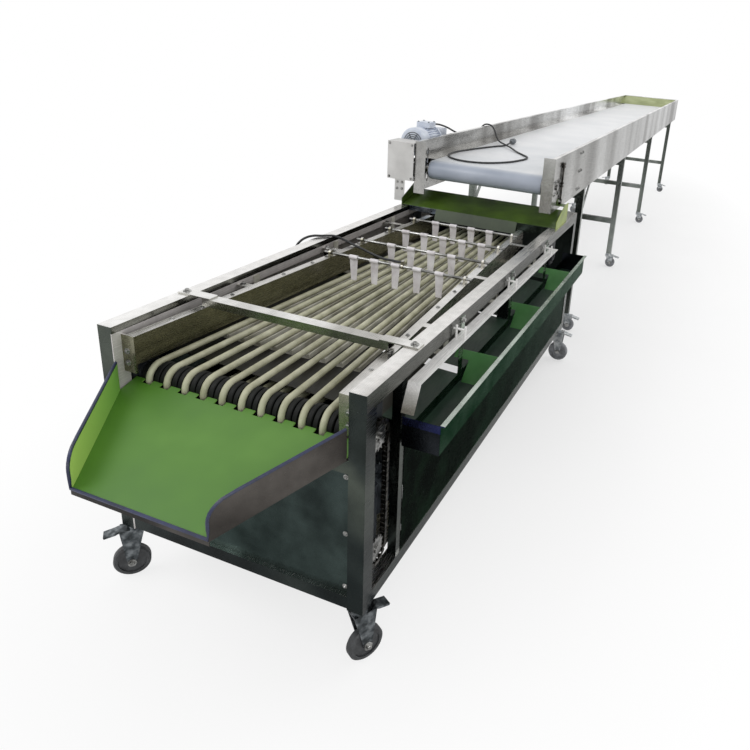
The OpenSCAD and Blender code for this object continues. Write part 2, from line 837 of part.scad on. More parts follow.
module drive_chain() {
  color(dark) placed() translate([chain_x, front_axis_y, axis_z])
    rotate([-90, 0, 0]) rotate([90, 0, 90]) roller_chain(axis_z - motor_z);
}

module feed_chain_loop() {
  color(dark) placed() translate([feed_chain_x, head_y, drum_z])
    rotate([90, 0, 90]) roller_chain(feed_chain);
}

// Fins round the motor body
function fin_outline(count, r0, r1) = [
  for (i = [0:count - 1], c = [[r0, -0.25], [r1, -0.18], [r1, 0.18], [r0, 0.25]])
    let (a = 360 * (i + c[1]) / count) c[0] * [cos(a), sin(a)]
];

// Worm gear unit with its motor along +Y; the output axis is the local X axis, its face is at x = 0
module gear_unit() {
  case_top = worm_rise + 52;
  bore_l = 40;
  difference() {
    union() {
      block(-case_w, 0, -case_l, case_l, -foot_h, case_top);
      translate([-case_w - 4, 0, 0]) rod_x(0, case_w + 6, 2 * case_l - 16);
    }
    translate([-bore_l, 0, 0]) rod_x(0, bore_l + 10, out_d + 2 * run);
  }
  translate([-case_w / 2, case_l + weld, worm_rise]) rotate([-90, 0, 0]) motor();
  translate([-case_w / 2, case_l, worm_rise]) terminal_box();
}

// Motor along Z: flange, finned body and a cowl with a rounded rim
module motor() {
  flange_t = 12;
  rim = 12;
  cylinder(d = cowl_d - 8, h = flange_t);
  translate([0, 0, flange_t]) linear_extrude(fin_l) polygon(fin_outline(28, cowl_d / 2 - 17, cowl_d / 2 - 9));
  translate([0, 0, flange_t + fin_l + weld]) rotate_extrude() polygon(concat(
    [[0, 0], [cowl_d / 2, 0], [cowl_d / 2, cowl_l - rim]],
    [for (a = [15:15:90]) [cowl_d / 2 - rim * (1 - cos(a)), cowl_l - rim + rim * sin(a)]],
    [[0, cowl_l]]
  ));
}

// Terminal box on the motor, with a gland towards the gear case
module terminal_box() {
  z0 = cowl_d / 2 - 9 + weld;
  y0 = 28;
  block(-38, 38, y0, y0 + 84, z0, z0 + 30);
  translate([20, y0 - weld, z0 + 13]) rotate([90, 0, 0]) gland(20);
}

module grader_gearmotor() {
  color("slategray") placed() translate([case_face, front_axis_y, motor_z]) gear_unit();
}

module feed_gearmotor() {
  shelf = 5;
  shelf_z = drum_z - foot_h - seat - shelf;
  out = feed_face - case_w - 6;
  color("lightslategray") placed() {
    translate([feed_face, feed_y, drum_z]) mirror([0, 1, 0]) gear_unit();
    block(out, -conv_half - seat, feed_y - case_l - 8, feed_y + case_l + 8, shelf_z, shelf_z + shelf);
    block(-conv_half - seat - shelf, -conv_half - seat, feed_y - case_l - 8, feed_y + case_l + 8,
      shelf_z + shelf + weld, shelf_z + 60);
  }
}

// Output shaft of a gear unit with its sprocket, about the local X axis
module output_sprocket(face, x) {
  rod_x(face - 36, x + 8, out_d);
  sprocket(x);
}

module motor_sprocket() {
  color(steel) placed() translate([0, front_axis_y, motor_z]) output_sprocket(case_face, chain_x);
}

module feed_sprocket() {
  color(steel) placed() translate([0, feed_y, drum_z]) output_sprocket(feed_face, feed_chain_x);
}

// Green sheets: trays under the belts, the trough's floor lining and its sloped dividers
module collecting_trays() {
  fronts = [tray_front, for (y = carriers) y + tray_gap];
  backs = [for (y = carriers) y - tray_gap, tray_rear];
  color(green) placed() {
    for (k = [0:3]) {
      end_view(fronts[k], backs[k]) polygon([
        [tray_left, tray_left_z + tray_lip], [tray_left, tray_left_z - sheet],
        [tray_right, tray_right_z - sheet], [tray_right, tray_right_z],
        [tray_left + sheet, tray_left_z], [tray_left + sheet, tray_left_z + tray_lip]
      ]);
    }
    block(trough_x + sheet + weld, trough_out - sheet - weld, trough_front + sheet + weld,
      trough_end - sheet - weld, trough_floor + sheet + weld, trough_floor + sheet + weld + lining);
    for (y = carriers) trough_divider(y);
  }
}

module trough_divider(y) {
  foot = trough_floor + sheet + lining + weld + seat;
  top = trough_top - 12;
  rise = divider_run / (top - foot);
  wing = tray_right_z + wing_lift;
  wing_y = y + (wing - foot) * rise;
  in = tray_right + 4;
  side_view(in, trough_out - sheet - seat) polygon([
    [y, foot], [y + 4, foot], [y + divider_run + 4, top], [y + divider_run, top]
  ]);
  side_view(in - wing_reach, in - weld) polygon([
    [wing_y, wing], [wing_y + 4, wing], [y + divider_run + 4, top], [y + divider_run, top]
  ]);
}

module side_trough() {
  strap_t = 3;
  wall_top = tray_right_z - sheet - seat;
  y0 = trough_front;
  y1 = trough_end;
  color(steel) placed() {
    block(trough_x, trough_out, y0, y1, trough_floor, trough_floor + sheet);
    block(trough_x, trough_x + sheet, y0 + sheet + weld, y1 - sheet - weld,
      trough_floor + sheet + weld, wall_top);
    block(trough_out - sheet, trough_out, y0 + sheet + weld, y1 - sheet - weld,
      trough_floor + sheet + weld, trough_top - sheet - weld);
    block(trough_out - sheet, trough_out + rim_w, y0, y1, trough_top - sheet, trough_top);
    for (y = [y0, y1 - sheet])
      block(trough_x, trough_out, y, y + sheet, trough_floor + sheet + weld, trough_top - sheet - weld);
    for (y = carriers)
      block(trough_x, trough_x + strap_t, y - carrier_w / 2, y + carrier_w / 2, wall_top + weld,
        rail_z - tube / 4);
  }
}

// Flat strip beside the right rail with a bent front end, hung on pairs of linked rods
module guard_strip() {
  x0 = half_w + strip_gap;
  y0 = trough_front - strip_lap;
  y1 = carriers[2] + strip_over;
  z0 = rail_z - strip_drop;
  rod = 8;
  link_z = rail_z - tube / 2;
  color(bright) placed() union() {
    side_view(x0, x0 + guard_w) polygon([
      [y0, z0 - strip_bend], [y0 + guard_t, z0 - strip_bend - 1],
      [y0 + strip_bend / 2 + guard_t, z0 - guard_t], [y1, z0 - guard_t], [y1, z0], [y0 + strip_bend / 2, z0]
    ]);
    for (y = carriers) translate([0, y - strip_step, 0]) {
      translate([half_w + seat, 0, link_z]) rod_x(0, strip_gap - seat + guard_w - rod / 2, rod);
      for (x = [x0 + rod / 2, x0 + guard_w - rod / 2])
        translate([x, 0, z0 - guard_t]) cylinder(d = rod, h = link_z - z0 + guard_t + rod * 1.5);
    }
  }
}

// A row of soft strips on sleeves, with the rod that they swing on
module curtain_row(k) {
  count = strip_counts[k];
  reach = board_x(row_y(k)) + flange_w + 12;
  color("whitesmoke") placed() translate([0, row_y(k), rod_z]) {
    rod_x(-reach, reach, rod_d);
    for (j = [0:count - 1]) translate([(j - (count - 1) / 2) * strip_pitch, 0, 0])
      curtain_strip(belt_top + rise(row_y(k)) + 6 - rod_z);
  }
}

module curtain_strip(end) {
  h = strip_w / 2;
  difference() {
    union() {
      rod_x(-h, h, rod_d + 6);
      block(-h, h, -strip_t / 2, strip_t / 2, end, -rod_d / 2 - 1);
    }
    rod_x(-h - 1, h + 1, rod_d + 2 * weld);
  }
}

module curtain_row_1() { curtain_row(0); }
module curtain_row_2() { curtain_row(1); }
module curtain_row_3() { curtain_row(2); }
module curtain_row_4() { curtain_row(3); }

// Sloped sheet from under the head drum on to the rails, with a short apron over the belts
module transfer_chute() {
  t = 2.5;
  y0 = conv_front - 40;
  y1 = conv_front + 180;
  z0 = rail_z + 4;
  z1 = conv_bottom - 14;
  wall = half_w - 8;
  tip_y = y0 - 24;
  tip_z = rail_z - tube;
  apron = board_x(y0) - 10;
  color(green) placed() {
    side_view(-wall + t + weld, wall - t - weld) polygon([[y0, z0], [y1, z1], [y1, z1 + t], [y0, z0 + t]]);
    side_view(-apron, apron) polygon([
      [tip_y, tip_z], [tip_y + t, tip_z], [y0, z0 - 4], [y0, z0 + t], [y0 - weld - t, z0 + t]
    ]);
    both_sides() {
      side_view(wall - t, wall) polygon([
        [y0, rail_z + seat], [y1, rail_z + seat], [y1, z1 + 46], [y0 + 140, z1 + 46], [y0, z0 + 32]
      ]);
      block(conv_half + seat, wall - t - weld, y1 - 70, y1 - 10, z1 + 36, z1 + 36 + t);
      block(conv_half + seat, conv_half + seat + t, y1 - 70, y1 - 10, z1 + 36 + t + weld, z1 + 66);
    }
  }
}

// Side plates with folded edges, bed and ties
module conveyor_frame() {
  in = conv_half - plate_t - seat;
  bed_top = belt_z - flat_t - seat;
  end_y = conv_end - plate_t - weld;
  color(bright) placed() {
    both_sides() {
      head_plate();
      end_view(head_end + weld, end_y) polygon([
        [conv_half, conv_bottom], [conv_half, conv_top], [conv_half - edge_w, conv_top],
        [conv_half - edge_w, conv_top - plate_t], [conv_half - plate_t, conv_top - plate_t],
        [conv_half - plate_t, conv_bottom + plate_t], [conv_half - edge_w, conv_bottom + plate_t],
        [conv_half - edge_w, conv_bottom]
      ]);
    }
    block(-conv_half, conv_half, conv_end - plate_t, conv_end, conv_bottom, conv_top);
    block(-in, in, head_y + drum_d / 2 + 22, tail_y - drum_d / 2 - 22, bed_top - sheet, bed_top);
    for (y = [head_end - 100, for (r = leg_rows) r + 60])
      tube_along_x(-in, in, y, bed_top - sheet - seat - low_tube, low_tube);
    for (y = lead_rests)
      lead_rest(y);
  }
}

// Head plate: web with a hole for the shaft, front flange and folded top
module head_plate() {
  difference() {
    union() {
      block(conv_half - plate_t, conv_half, conv_front, head_end, conv_bottom, conv_top);
      block(conv_half - head_flange, conv_half, conv_front, conv_front + plate_t, conv_bottom, conv_top);
      block(conv_half - edge_w, conv_half, conv_front, head_end, conv_top - plate_t, conv_top);
    }
    translate([conv_half - 10, head_y, drum_z]) rod_x(0, 20, shaft_d + 4);
    side_view(conv_half - 10, conv_half + 10) take_up_slot();
  }
}

// Upright slot of the take-up screw, with round ends
module take_up_slot() {
  slot_y = head_y + 90;
  slot_w = 12;
  slot_z = [conv_bottom + 45, conv_top - 55];
  for (z = slot_z) translate([slot_y, z]) circle(d = slot_w);
  translate([slot_y - slot_w / 2, slot_z[0]]) square([slot_w, slot_z[1] - slot_z[0]]);
}

// Small ledge on the left plate that carries the motor lead
module lead_rest(y) {
  z = lead_rest_z - lead_d / 2 - seat;
  x = -conv_half - seat;
  block(x - 16, x, y - 8, y + 8, z - 3, z);
}

module conveyor_legs() {
  foot = feed_caster_h;
  top = conv_bottom - seat;
  pad = 6;
  low_x = leg_x - leg / 2 - weld;
  color(steel) placed() {
    for (y = leg_rows) {
      both_sides() {
        tube_upright(leg_x - leg / 2, y - leg / 2, foot, top - pad - weld, leg);
        block(leg_x - leg / 2 - 8, leg_x + leg / 2 + 2, y - 50, y + 50, top - pad, top);
      }
      for (z = [stretcher_z - leg / 2, top - 70])
        tube_along_x(-low_x, low_x, y - leg / 2, z, leg);
    }
    both_sides() side_view(leg_x - 3, leg_x + 3) polygon([
      [leg_rows[0] + leg / 2 + weld, top - brace_l - leg / 2],
      [leg_rows[0] + leg / 2 + weld, top - brace_l + leg * 0.75],
      [leg_rows[0] + brace_l, top], [leg_rows[0] + brace_l + leg, top]
    ]);
    for (p = feed_casters)
      caster_pad(p, feed_caster_h, leg);
  }
}

// Flat belt: two runs and a half round at each drum
module conveyor_belt() {
  r0 = drum_d / 2 + seat;
  r1 = r0 + flat_t;
  color("white") placed() translate([-flat_w / 2, 0, drum_z]) {
    for (z = [r0, -r1]) translate([0, head_y, z]) cube([flat_w, tail_y - head_y, flat_t]);
    for (e = [[tail_y, 0], [head_y, 180]])
      translate([0, e[0], 0]) rotate([0, 90, 0]) rotate([0, 0, e[1]]) rotate_extrude(angle = 180)
        translate([r0, 0]) square([flat_t, flat_w]);
  }
}

// Drum with its journals, about the local X axis
module drum() {
  l = flat_w / 2 + 4;
  rod_x(-l, l, drum_d);
  rod_x(-conv_half - 4, conv_half + 8, shaft_d);
}

module head_drum() {
  color(steel) placed() translate([0, head_y, drum_z]) union() {
    drum();
    rod_x(feed_chain_x - 12, 0, shaft_d);
    sprocket(feed_chain_x);
  }
}

module tail_drum() {
  l = flat_w / 2 + 4;
  j = conv_half - plate_t - 2;
  color(steel) placed() translate([0, tail_y, drum_z]) union() {
    rod_x(-l, l, drum_d);
    rod_x(-j, j, shaft_d);
  }
}

// Sheet box over the chain end of the head drum, open towards the plate and the motor
module drive_guard() {
  x1 = -conv_half - seat;
  x0 = x1 - 150;
  y0 = conv_front - 15;
  y1 = head_y + 40;
  z0 = drum_z - chain_r - link_r - 8;
  z1 = conv_top - 11;
  color("lightgray") placed() {
    difference() {
      block(x0, x1, y0, y1, z0, z1);
      block(x0 + sheet, x1 + 1, y0 + sheet, y1 + 1, z0 + sheet, z1 - sheet);
    }
    block(x0 + 45, -half_w + 6, y0 + 3, y0 + 6, conv_bottom - 50, z0 - weld);
  }
}

// Sloped soft liner that closes the infeed end over the tail drum
module hopper_liner() {
  y1 = conv_end - plate_t - seat;
  y0 = y1 - liner_run;
  in = conv_half - plate_t - seat;
  color("yellowgreen") placed() side_view(-in, in) polygon([
    [y0, belt_z + seat], [y1, conv_top - plate_t - lining - 4],
    [y1, conv_top - plate_t - 4], [y0, belt_z + seat + lining]
  ]);
}

// A tube of eight sides swept along a route, as triangles
function route_dir(r, i) = let (n = len(r) - 1, d = r[min(i + 1, n)] - r[max(i - 1, 0)]) d / norm(d);
function ring_at(r, i, sides) = let (
  t = route_dir(r, i),
  s = cross(t, [0, 0, 1]) / norm(cross(t, [0, 0, 1])),
  u = cross(s, t)
) [for (k = [0:sides - 1]) r[i] + lead_d / 2 * (cos(360 * k / sides) * s + sin(360 * k / sides) * u)];

module swept_lead(r) {
  sides = 8;
  last = len(r) - 1;
  polyhedron(
    points = [for (i = [0:last]) each ring_at(r, i, sides)],
    faces = concat(
      [for (k = [1:sides - 2]) [0, k, k + 1]],
      [for (k = [1:sides - 2]) [last * sides, last * sides + k + 1, last * sides + k]],
      [for (i = [0:last - 1], k = [0:sides - 1], h = [0, 1]) let (
        a = i * sides + k,
        b = i * sides + (k + 1) % sides
      ) h == 0 ? [a, a + sides, b] : [b, a + sides, b + sides]]
    )
  );
}

module motor_lead() {
  color(black) placed() swept_lead(lead_route);
}

module curtain_cable() {
  color(black) placed() swept_lead(cable_route);
}

// Plug at the end of the motor lead, lying on the belt
module lead_plug() {
  end = lead_route[len(lead_route) - 1];
  color("gray") placed() translate([end[0], end[1] + plug_gap, end[2]]) rotate([-90, 0, 0]) union() {
    cylinder(r1 = lead_d / 2 + 3, r2 = plug_r - 4, h = plug_l * 0.4);
    translate([0, 0, plug_l * 0.4]) cylinder(r = plug_r, h = plug_l * 0.6);
    for (a = [90, 210, 330]) rotate(a) translate([plug_r * 0.5, 0, plug_l]) cylinder(d = 5, h = 20);
  }
}

// Swivel fork: head, crown, two cheeks, axle and brake pedal, trailing along +X
module fork(h, d) {
  top = h - caster_plate - weld - seat;
  head_t = 14;
  crown_t = 6;
  head_r = 24;
  crown = top - head_t - crown_t;
  y1 = wheel_w / 2 + 2;
  back = trail + 26;
  boss = axle_d / 2 + 7;
  translate([0, 0, top - head_t]) cylinder(r = head_r, h = head_t);
  block(-head_r, back, -y1 - cheek_t, y1 + cheek_t, crown, crown + crown_t);
  for (y = [-y1 - cheek_t, y1]) end_view(y, y + cheek_t) {
    polygon([[-head_r, crown], [trail - boss, d / 2], [trail + boss, d / 2], [back, crown]]);
    translate([trail, d / 2]) circle(boss);
  }
  translate([trail, -y1 - cheek_t - 3, d / 2]) rotate([-90, 0, 0])
    cylinder(d = axle_d, h = 2 * (y1 + cheek_t + 3));
  end_view(-y1, y1) polygon([
    [back - 1, crown + crown_t], [back - 1, crown], [back + 12, crown - 6], [back + 44, crown - 12],
    [back + 46, crown - 6], [back + 14, crown + 1]
  ]);
}

// Wheel with hub, web and tread, about the local Y axis
module wheel(d) {
  r = d / 2;
  w = wheel_w / 2;
  hub = axle_d / 2 + 9;
  bore = axle_d / 2 + run;
  rotate([90, 0, 0]) rotate_extrude() polygon([
    [bore, -w], [hub, -w], [hub, -w + 5], [r - 14, -w + 5], [r - 14, -w + 1], [r - 5, -w + 1], [r, -w + 6],
    [r, w - 6], [r - 5, w - 1], [r - 14, w - 1], [r - 14, w - 5], [hub, w - 5], [hub, w], [bore, w]
  ]);
}

// A caster at its swivel axis, turned the way it trails
module at_caster(p, turn) {
  translate([p[0], p[1], 0]) rotate([0, 0, turn]) children();
}

module grader_fork(k) {
  color(dark) placed() at_caster(grader_casters[k], grader_turns[k]) fork(caster_h, wheel_d);
}

module grader_wheel(k) {
  color(black) placed() at_caster(grader_casters[k], grader_turns[k])
    translate([trail, 0, wheel_d / 2]) wheel(wheel_d);
}

module feed_fork(k) {
  color(steel) placed() at_caster(feed_casters[k], feed_turns[k]) fork(feed_caster_h, feed_wheel_d);
}

module feed_wheel(k) {
  color(dark) placed() at_caster(feed_casters[k], feed_turns[k])
    translate([trail, 0, feed_wheel_d / 2]) wheel(feed_wheel_d);
}

grader_frame();
skirt_panels();
chute_shell();
chute_lining();
cross_bar();
guide_boards();
drive_shaft();
drive_pulleys();
rear_roller();
sorting_belts();
belt_supports();
bearing_units();
drive_chain();
grader_gearmotor();
motor_sprocket();
collecting_trays();
side_trough();
guard_strip();
curtain_row_1();
curtain_row_2();
curtain_row_3();
curtain_row_4();
transfer_chute();
conveyor_frame();
conveyor_legs();
conveyor_belt();
head_drum();
tail_drum();
feed_gearmotor();
feed_sprocket();
feed_chain_loop();
drive_guard();
hopper_liner();
motor_lead();
lead_plug();
curtain_cable();
for (k = [0:3]) {
  grader_fork(k);
  grader_wheel(k);
}
for (k = [0:7]) {
  feed_fork(k);
  feed_wheel(k);
}
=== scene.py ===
import math

import bmesh
import bpy
from mathutils import Matrix, Vector


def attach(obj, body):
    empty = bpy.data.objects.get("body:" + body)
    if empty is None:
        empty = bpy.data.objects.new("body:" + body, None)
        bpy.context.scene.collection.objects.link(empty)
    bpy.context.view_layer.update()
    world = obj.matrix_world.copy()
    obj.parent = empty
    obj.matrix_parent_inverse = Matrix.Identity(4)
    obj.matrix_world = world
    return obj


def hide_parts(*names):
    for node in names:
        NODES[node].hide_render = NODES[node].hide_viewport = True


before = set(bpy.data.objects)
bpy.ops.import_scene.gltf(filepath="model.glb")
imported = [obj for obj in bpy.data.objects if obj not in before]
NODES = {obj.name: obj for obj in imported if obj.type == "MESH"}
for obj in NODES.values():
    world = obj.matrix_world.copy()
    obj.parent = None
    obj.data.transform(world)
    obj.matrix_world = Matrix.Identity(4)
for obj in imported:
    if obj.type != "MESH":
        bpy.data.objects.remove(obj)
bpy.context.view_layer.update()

# The drawing's sizes are millimetres from the floor under the grader's front; the row frame is metres.
MID_X = 11.15
ORIGIN_Y = 4267.0


def at(x, y, z):
    """A point of the drawing, in the row frame."""
    return Vector(((x - MID_X) / 1000, (y - ORIGIN_Y) / 1000, z / 1000))


# The camera stands where the photograph was taken, and its shift is that of the photograph's framing.
PHOTO_PX, FOCAL_PX = 750, 663.444
CENTRE_PX = (479.91, 286.606)
SENSOR_MM = 36
YAW, PITCH, ROLL = math.radians(-19.012), math.radians(19.712), math.radians(4.636)
look = Vector((math.sin(YAW) * math.cos(PITCH), math.cos(YAW) * math.cos(PITCH), -math.sin(PITCH)))
level = look.cross(Vector((0, 0, 1))).normalized()
rise = level.cross(look)
right = math.cos(ROLL) * level + math.sin(ROLL) * rise
up = -math.sin(ROLL) * level + math.cos(ROLL) * rise
camera_data = bpy.data.cameras.new("camera")
camera_data.sensor_width = SENSOR_MM
camera_data.lens = FOCAL_PX * SENSOR_MM / PHOTO_PX
camera_data.shift_x = (PHOTO_PX / 2 - CENTRE_PX[0]) / PHOTO_PX
camera_data.shift_y = (CENTRE_PX[1] - PHOTO_PX / 2) / PHOTO_PX
camera_data.clip_end = 60
camera = bpy.data.objects.new("camera", camera_data)
aimed = Matrix((right, up, -look)).transposed().to_4x4()
camera.matrix_world = Matrix.Translation(at(1124, -1249, 1688)) @ aimed
bpy.context.scene.collection.objects.link(camera)
bpy.context.scene.camera = camera


def rgb(text):
    """An sRGB hex value as linear colour."""
    parts = [int(text[i:i + 2], 16) / 255 for i in (0, 2, 4)]
    return tuple(c / 12.92 if c <= 0.04045 else ((c + 0.055) / 1.055) ** 2.4 for c in parts) + (1.0,)


def grey(value):
    """A plain number as a ramp's colour, for gloss and wear."""
    return (value, value, value, 1.0)


def add(tree, kind, settings=(), links=()):
    """A node with its settings and links: a key that is an input's name or number sets that input, and stops
    are a ramp's marks, each (place, colour)."""
    node = tree.nodes.new(kind)
    for key, value in dict(settings).items():
        if key == "stops":
            marks = node.color_ramp.elements
            while len(marks) < len(value):
                marks.new(0.5)
            for mark, (spot, colour) in zip(marks, value):
                mark.position = spot
                mark.color = colour
        elif isinstance(key, str) and hasattr(node, key):
            setattr(node, key, value)
        else:
            node.inputs[key].default_value = value
    for key, source in dict(links).items():
        tree.links.new(node.inputs[key], source)
    return node


def new_material(name):
    """A material with its shader and the piece's own coordinates."""
    material = bpy.data.materials.new(name)
    material.use_nodes = True
    tree = material.node_tree
    shader = tree.nodes["Principled BSDF"]
    place = add(tree, "ShaderNodeTexCoord").outputs["Object"]
    return material, tree, shader, place


def spots(tree, place, size_mm, detail=3, stretch=(1, 1, 1)):
    """A cloudy value whose blotches are about size_mm wide, drawn out along an axis by a small stretch."""
    moved = add(tree, "ShaderNodeMapping", {"Scale": stretch}, {"Vector": place})
    return add(tree, "ShaderNodeTexNoise", {"Scale": 1000 / size_mm, "Detail": detail},
               {"Vector": moved.outputs["Vector"]}).outputs["Fac"]


def upward(tree):
    """0 on upright faces, 1 on level ones."""
    normal = add(tree, "ShaderNodeNewGeometry").outputs["Normal"]
    height = add(tree, "ShaderNodeSeparateXYZ", links={"Vector": normal}).outputs["Z"]
    return add(tree, "ShaderNodeMapRange", {"From Min": 0.55, "From Max": 0.85}, {"Value": height}).outputs["Result"]


def inside(tree, place, tests):
    """1 where a place passes every test, else 0. A test is (axis, limit, whether below it, soft edge), in metres,
    and has no fourth value where the edge is sharp."""
    axes = add(tree, "ShaderNodeSeparateXYZ", links={"Vector": place}).outputs
    share = None
    for axis, limit, below, *soft in tests:
        if soft:
            gate = add(tree, "ShaderNodeMapRange",
                       {"From Min": limit - soft[0], "From Max": limit + soft[0],
                        "To Min": float(below), "To Max": float(not below)},
                       {"Value": axes[axis]}).outputs["Result"]
        else:
            gate = add(tree, "ShaderNodeMath", {"operation": "LESS_THAN" if below else "GREATER_THAN", 1: limit},
                       {0: axes[axis]}).outputs["Value"]
        share = gate if share is None else add(
            tree, "ShaderNodeMath", {"operation": "MULTIPLY"}, {0: share, 1: gate}).outputs["Value"]
    return share


def layered(tree, cloud, layers):
    """Colours along a cloudy value: each layer is (two or three colours, the share that it covers of the ones
    before it)."""
    whole = None
    for colours, share in layers:
        marks = (0.32, 0.68) if len(colours) == 2 else (0.36, 0.5, 0.66)
        own = add(tree, "ShaderNodeValToRGB", {"stops": tuple(zip(marks, map(rgb, colours)))},
                  {"Fac": cloud}).outputs["Color"]
        whole = own if whole is None else add(
            tree, "ShaderNodeMix", {"data_type": "RGBA"}, {"Factor": share, 6: whole, 7: own}).outputs[2]
    return whole


def brushed(tree, shader, place, tests, metallic):
    """Takes the mirror out of a zone, so that it shows the pale colour painted on it."""
    dull = add(tree, "ShaderNodeMapRange", {"To Min": metallic, "To Max": 0.1}, {"Value": inside(tree, place, tests)})
    tree.links.new(shader.inputs["Metallic"], dull.outputs["Result"])


def surface(tree, shader, colour, fine, strength, depth_mm, rough):
    """Gives the shader its colour and the relief of a fine pattern. Two roughnesses follow that pattern, and one
    is the same all over."""
    relief = add(tree, "ShaderNodeBump", {"Strength": strength, "Distance": depth_mm / 1000}, {"Height": fine})
    tree.links.new(shader.inputs["Base Color"], colour)
    tree.links.new(shader.inputs["Normal"], relief.outputs["Normal"])
    if isinstance(rough, tuple):
        gloss = add(tree, "ShaderNodeValToRGB", {"stops": ((0.3, grey(rough[0])), (0.7, grey(rough[1])))},
                    {"Fac": fine})
        tree.links.new(shader.inputs["Roughness"], gloss.outputs["Color"])
    else:
        shader.inputs["Roughness"].default_value = rough


# Where a finish changes, as tests for inside()
UNDER_RAILS = [("Z", 0.829, True)]
FRONT_FACES = [("Y", at(0, 2.3, 0).y, True)]
FRONT_POSTS_LOW = [("Z", 0.5, True, 0.12), ("Y", at(0, 60, 0).y, True)]
LEFT_RAIL_INSIDE = [("X", at(-383, 0, 0).x, False), ("X", at(-377, 0, 0).x, True), ("Z", 0.859, True)]
STRIP_BEND = [("Z", 0.785, True, 0.03), ("Y", at(0, 262, 0).y, True)]
ALL_OVER = [("Z", 0.0, False)]
CONVEYOR_FAR = [("Y", at(0, 4150, 0).y, False, 1.45)]
LEFT_BOARD_NEAR = [("X", 0.0, True), ("Y", at(0, 1000, 0).y, True, 0.6)]
CHUTE_FRONT = [("Y", at(0, -150, 0).y, True, 0.13)]
TRANSFER_APRON = [("Y", at(0, 1859.6, 0).y, True)]
TRANSFER_RIGHT = [("X", at(418.5, 0, 0).x, False)]
BELT_TURN = [("Y", at(0, 1967, 0).y, True, 0.03)]
BELT_FAR = [("Y", at(0, 3100, 0).y, False, 0.7)]
FRONT_PANEL = [("Y", at(0, 40, 0).y, True)]
LEFT_SKIRT = [("X", at(-426.7, 0, 0).x, False), ("X", at(-420, 0, 0).x, True), ("Z", 0.72, False)]
TROUGH_RIM = [("Z", 0.7178, False)]
TROUGH_FRONT = [("Y", at(0, 202.1, 0).y, True)]
TROUGH_FRONT_TOP = TROUGH_FRONT + [("Z", 0.694, False)]
TROUGH_REAR = [("Y", at(0, 2047.9, 0).y, False)]
IN_TROUGH = [("X", at(345, 0, 0).x, False)]
OUTER_DIVIDERS = [("X", at(439, 0, 0).x, False), ("Z", 0.6306, False)]
INNER_DIVIDERS = [("X", at(386, 0, 0).x, False), ("Z", 0.684, False)]
RIGHT_HEM = [("X", 0.0, False)]


def stainless(name, sides, tops=None, run=(1, 0.12, 1), rough=(0.16, 0.34), band_mm=260, zones=(),
              matt=None, far=None):
    """Stainless steel, rolled and polished: cloudy bands along the rolling direction, which also stand for painted
    reflections of the room, and fine lines in the gloss. Upright faces are painted darker and level faces brighter,
    a painted reflection of a dark hall and a bright ceiling. A zone has colours of its own, some of them painted
    shade, a matt zone is brushed dull, and far colours grow lighter along the conveyor as a painted highlight."""
    material, tree, shader, place = new_material(name)
    bands = spots(tree, place, band_mm, 2, run)
    layers = [(sides, None)] + [(colours, inside(tree, place, tests)) for colours, tests in zones]
    # Level faces take the top colours: painted reflection of a bright ceiling
    if tops:
        layers.append((tops, upward(tree)))
    # The far colours: a painted highlight that grows along the conveyor
    if far:
        layers.append((far, inside(tree, place, CONVEYOR_FAR)))
    worn = add(tree, "ShaderNodeValToRGB", {"stops": ((0.3, grey(0.84)), (0.62, grey(1)))},
               {"Fac": spots(tree, place, 34, 4)})
    tinted = add(tree, "ShaderNodeMix", {"data_type": "RGBA", "blend_type": "MULTIPLY", "Factor": 1.0},
                 {6: layered(tree, bands, layers), 7: worn.outputs["Color"]})
    # Real polishing lines are about 0.1 mm apart, too fine to show, so they are drawn 3 mm apart.
    lines = spots(tree, place, 3, 2, (1, 0.04, 1))
    surface(tree, shader, tinted.outputs[2], lines, 0.12, 0.2, rough)
    shader.inputs["Metallic"].default_value = 1.0
    if matt:
        brushed(tree, shader, place, matt, 1.0)
    return material


def soft_sheet(name, deep, mid, pale, rough=0.42, cloud_mm=180, walls=None):
    """Calendered PVC sheet: even colour with wide cloudy patches and a faint pebble. Upright walls are painted
    lighter as painted light, more so towards the front."""
    material, tree, shader, place = new_material(name)
    colour = add(tree, "ShaderNodeValToRGB", {"stops": ((0.32, rgb(deep)), (0.5, rgb(mid)), (0.68, rgb(pale)))},
                 {"Fac": spots(tree, place, cloud_mm)}).outputs["Color"]
    # Upright walls take the wall colours: painted light, lightest towards the front
    if walls:
        wall = add(tree, "ShaderNodeMix", {"data_type": "RGBA", 6: rgb(walls[0]), 7: rgb(walls[1])},
                   {"Factor": inside(tree, place, CHUTE_FRONT)})
        colour = add(tree, "ShaderNodeMix", {"data_type": "RGBA"},
                     {"Factor": upward(tree), 6: wall.outputs[2], 7: colour}).outputs[2]
    # The real pebble is under 1 mm, too fine to show, so it is drawn 2.5 mm wide.
    surface(tree, shader, colour, spots(tree, place, 2.5, 2), 0.15, 0.2, rough)
    shader.inputs["IOR"].default_value = 1.53
    return material


def moulded(name, dark, light, rough=(0.38, 0.55), grain_mm=3, cloud_mm=40, sheen=0.5):
    """Moulded or coated surface: fine grain, slightly uneven gloss and colour. The real grain is a few tenths of
    a millimetre, too fine to show, so it is drawn some millimetres wide."""
    material, tree, shader, place = new_material(name)
    colour = add(tree, "ShaderNodeValToRGB", {"stops": ((0.3, rgb(dark)), (0.7, rgb(light)))},
                 {"Fac": spots(tree, place, cloud_mm)})
    surface(tree, shader, colour.outputs["Color"], spots(tree, place, grain_mm, 2), 0.12, 0.15, rough)
    shader.inputs["Specular IOR Level"].default_value = sheen
    return material


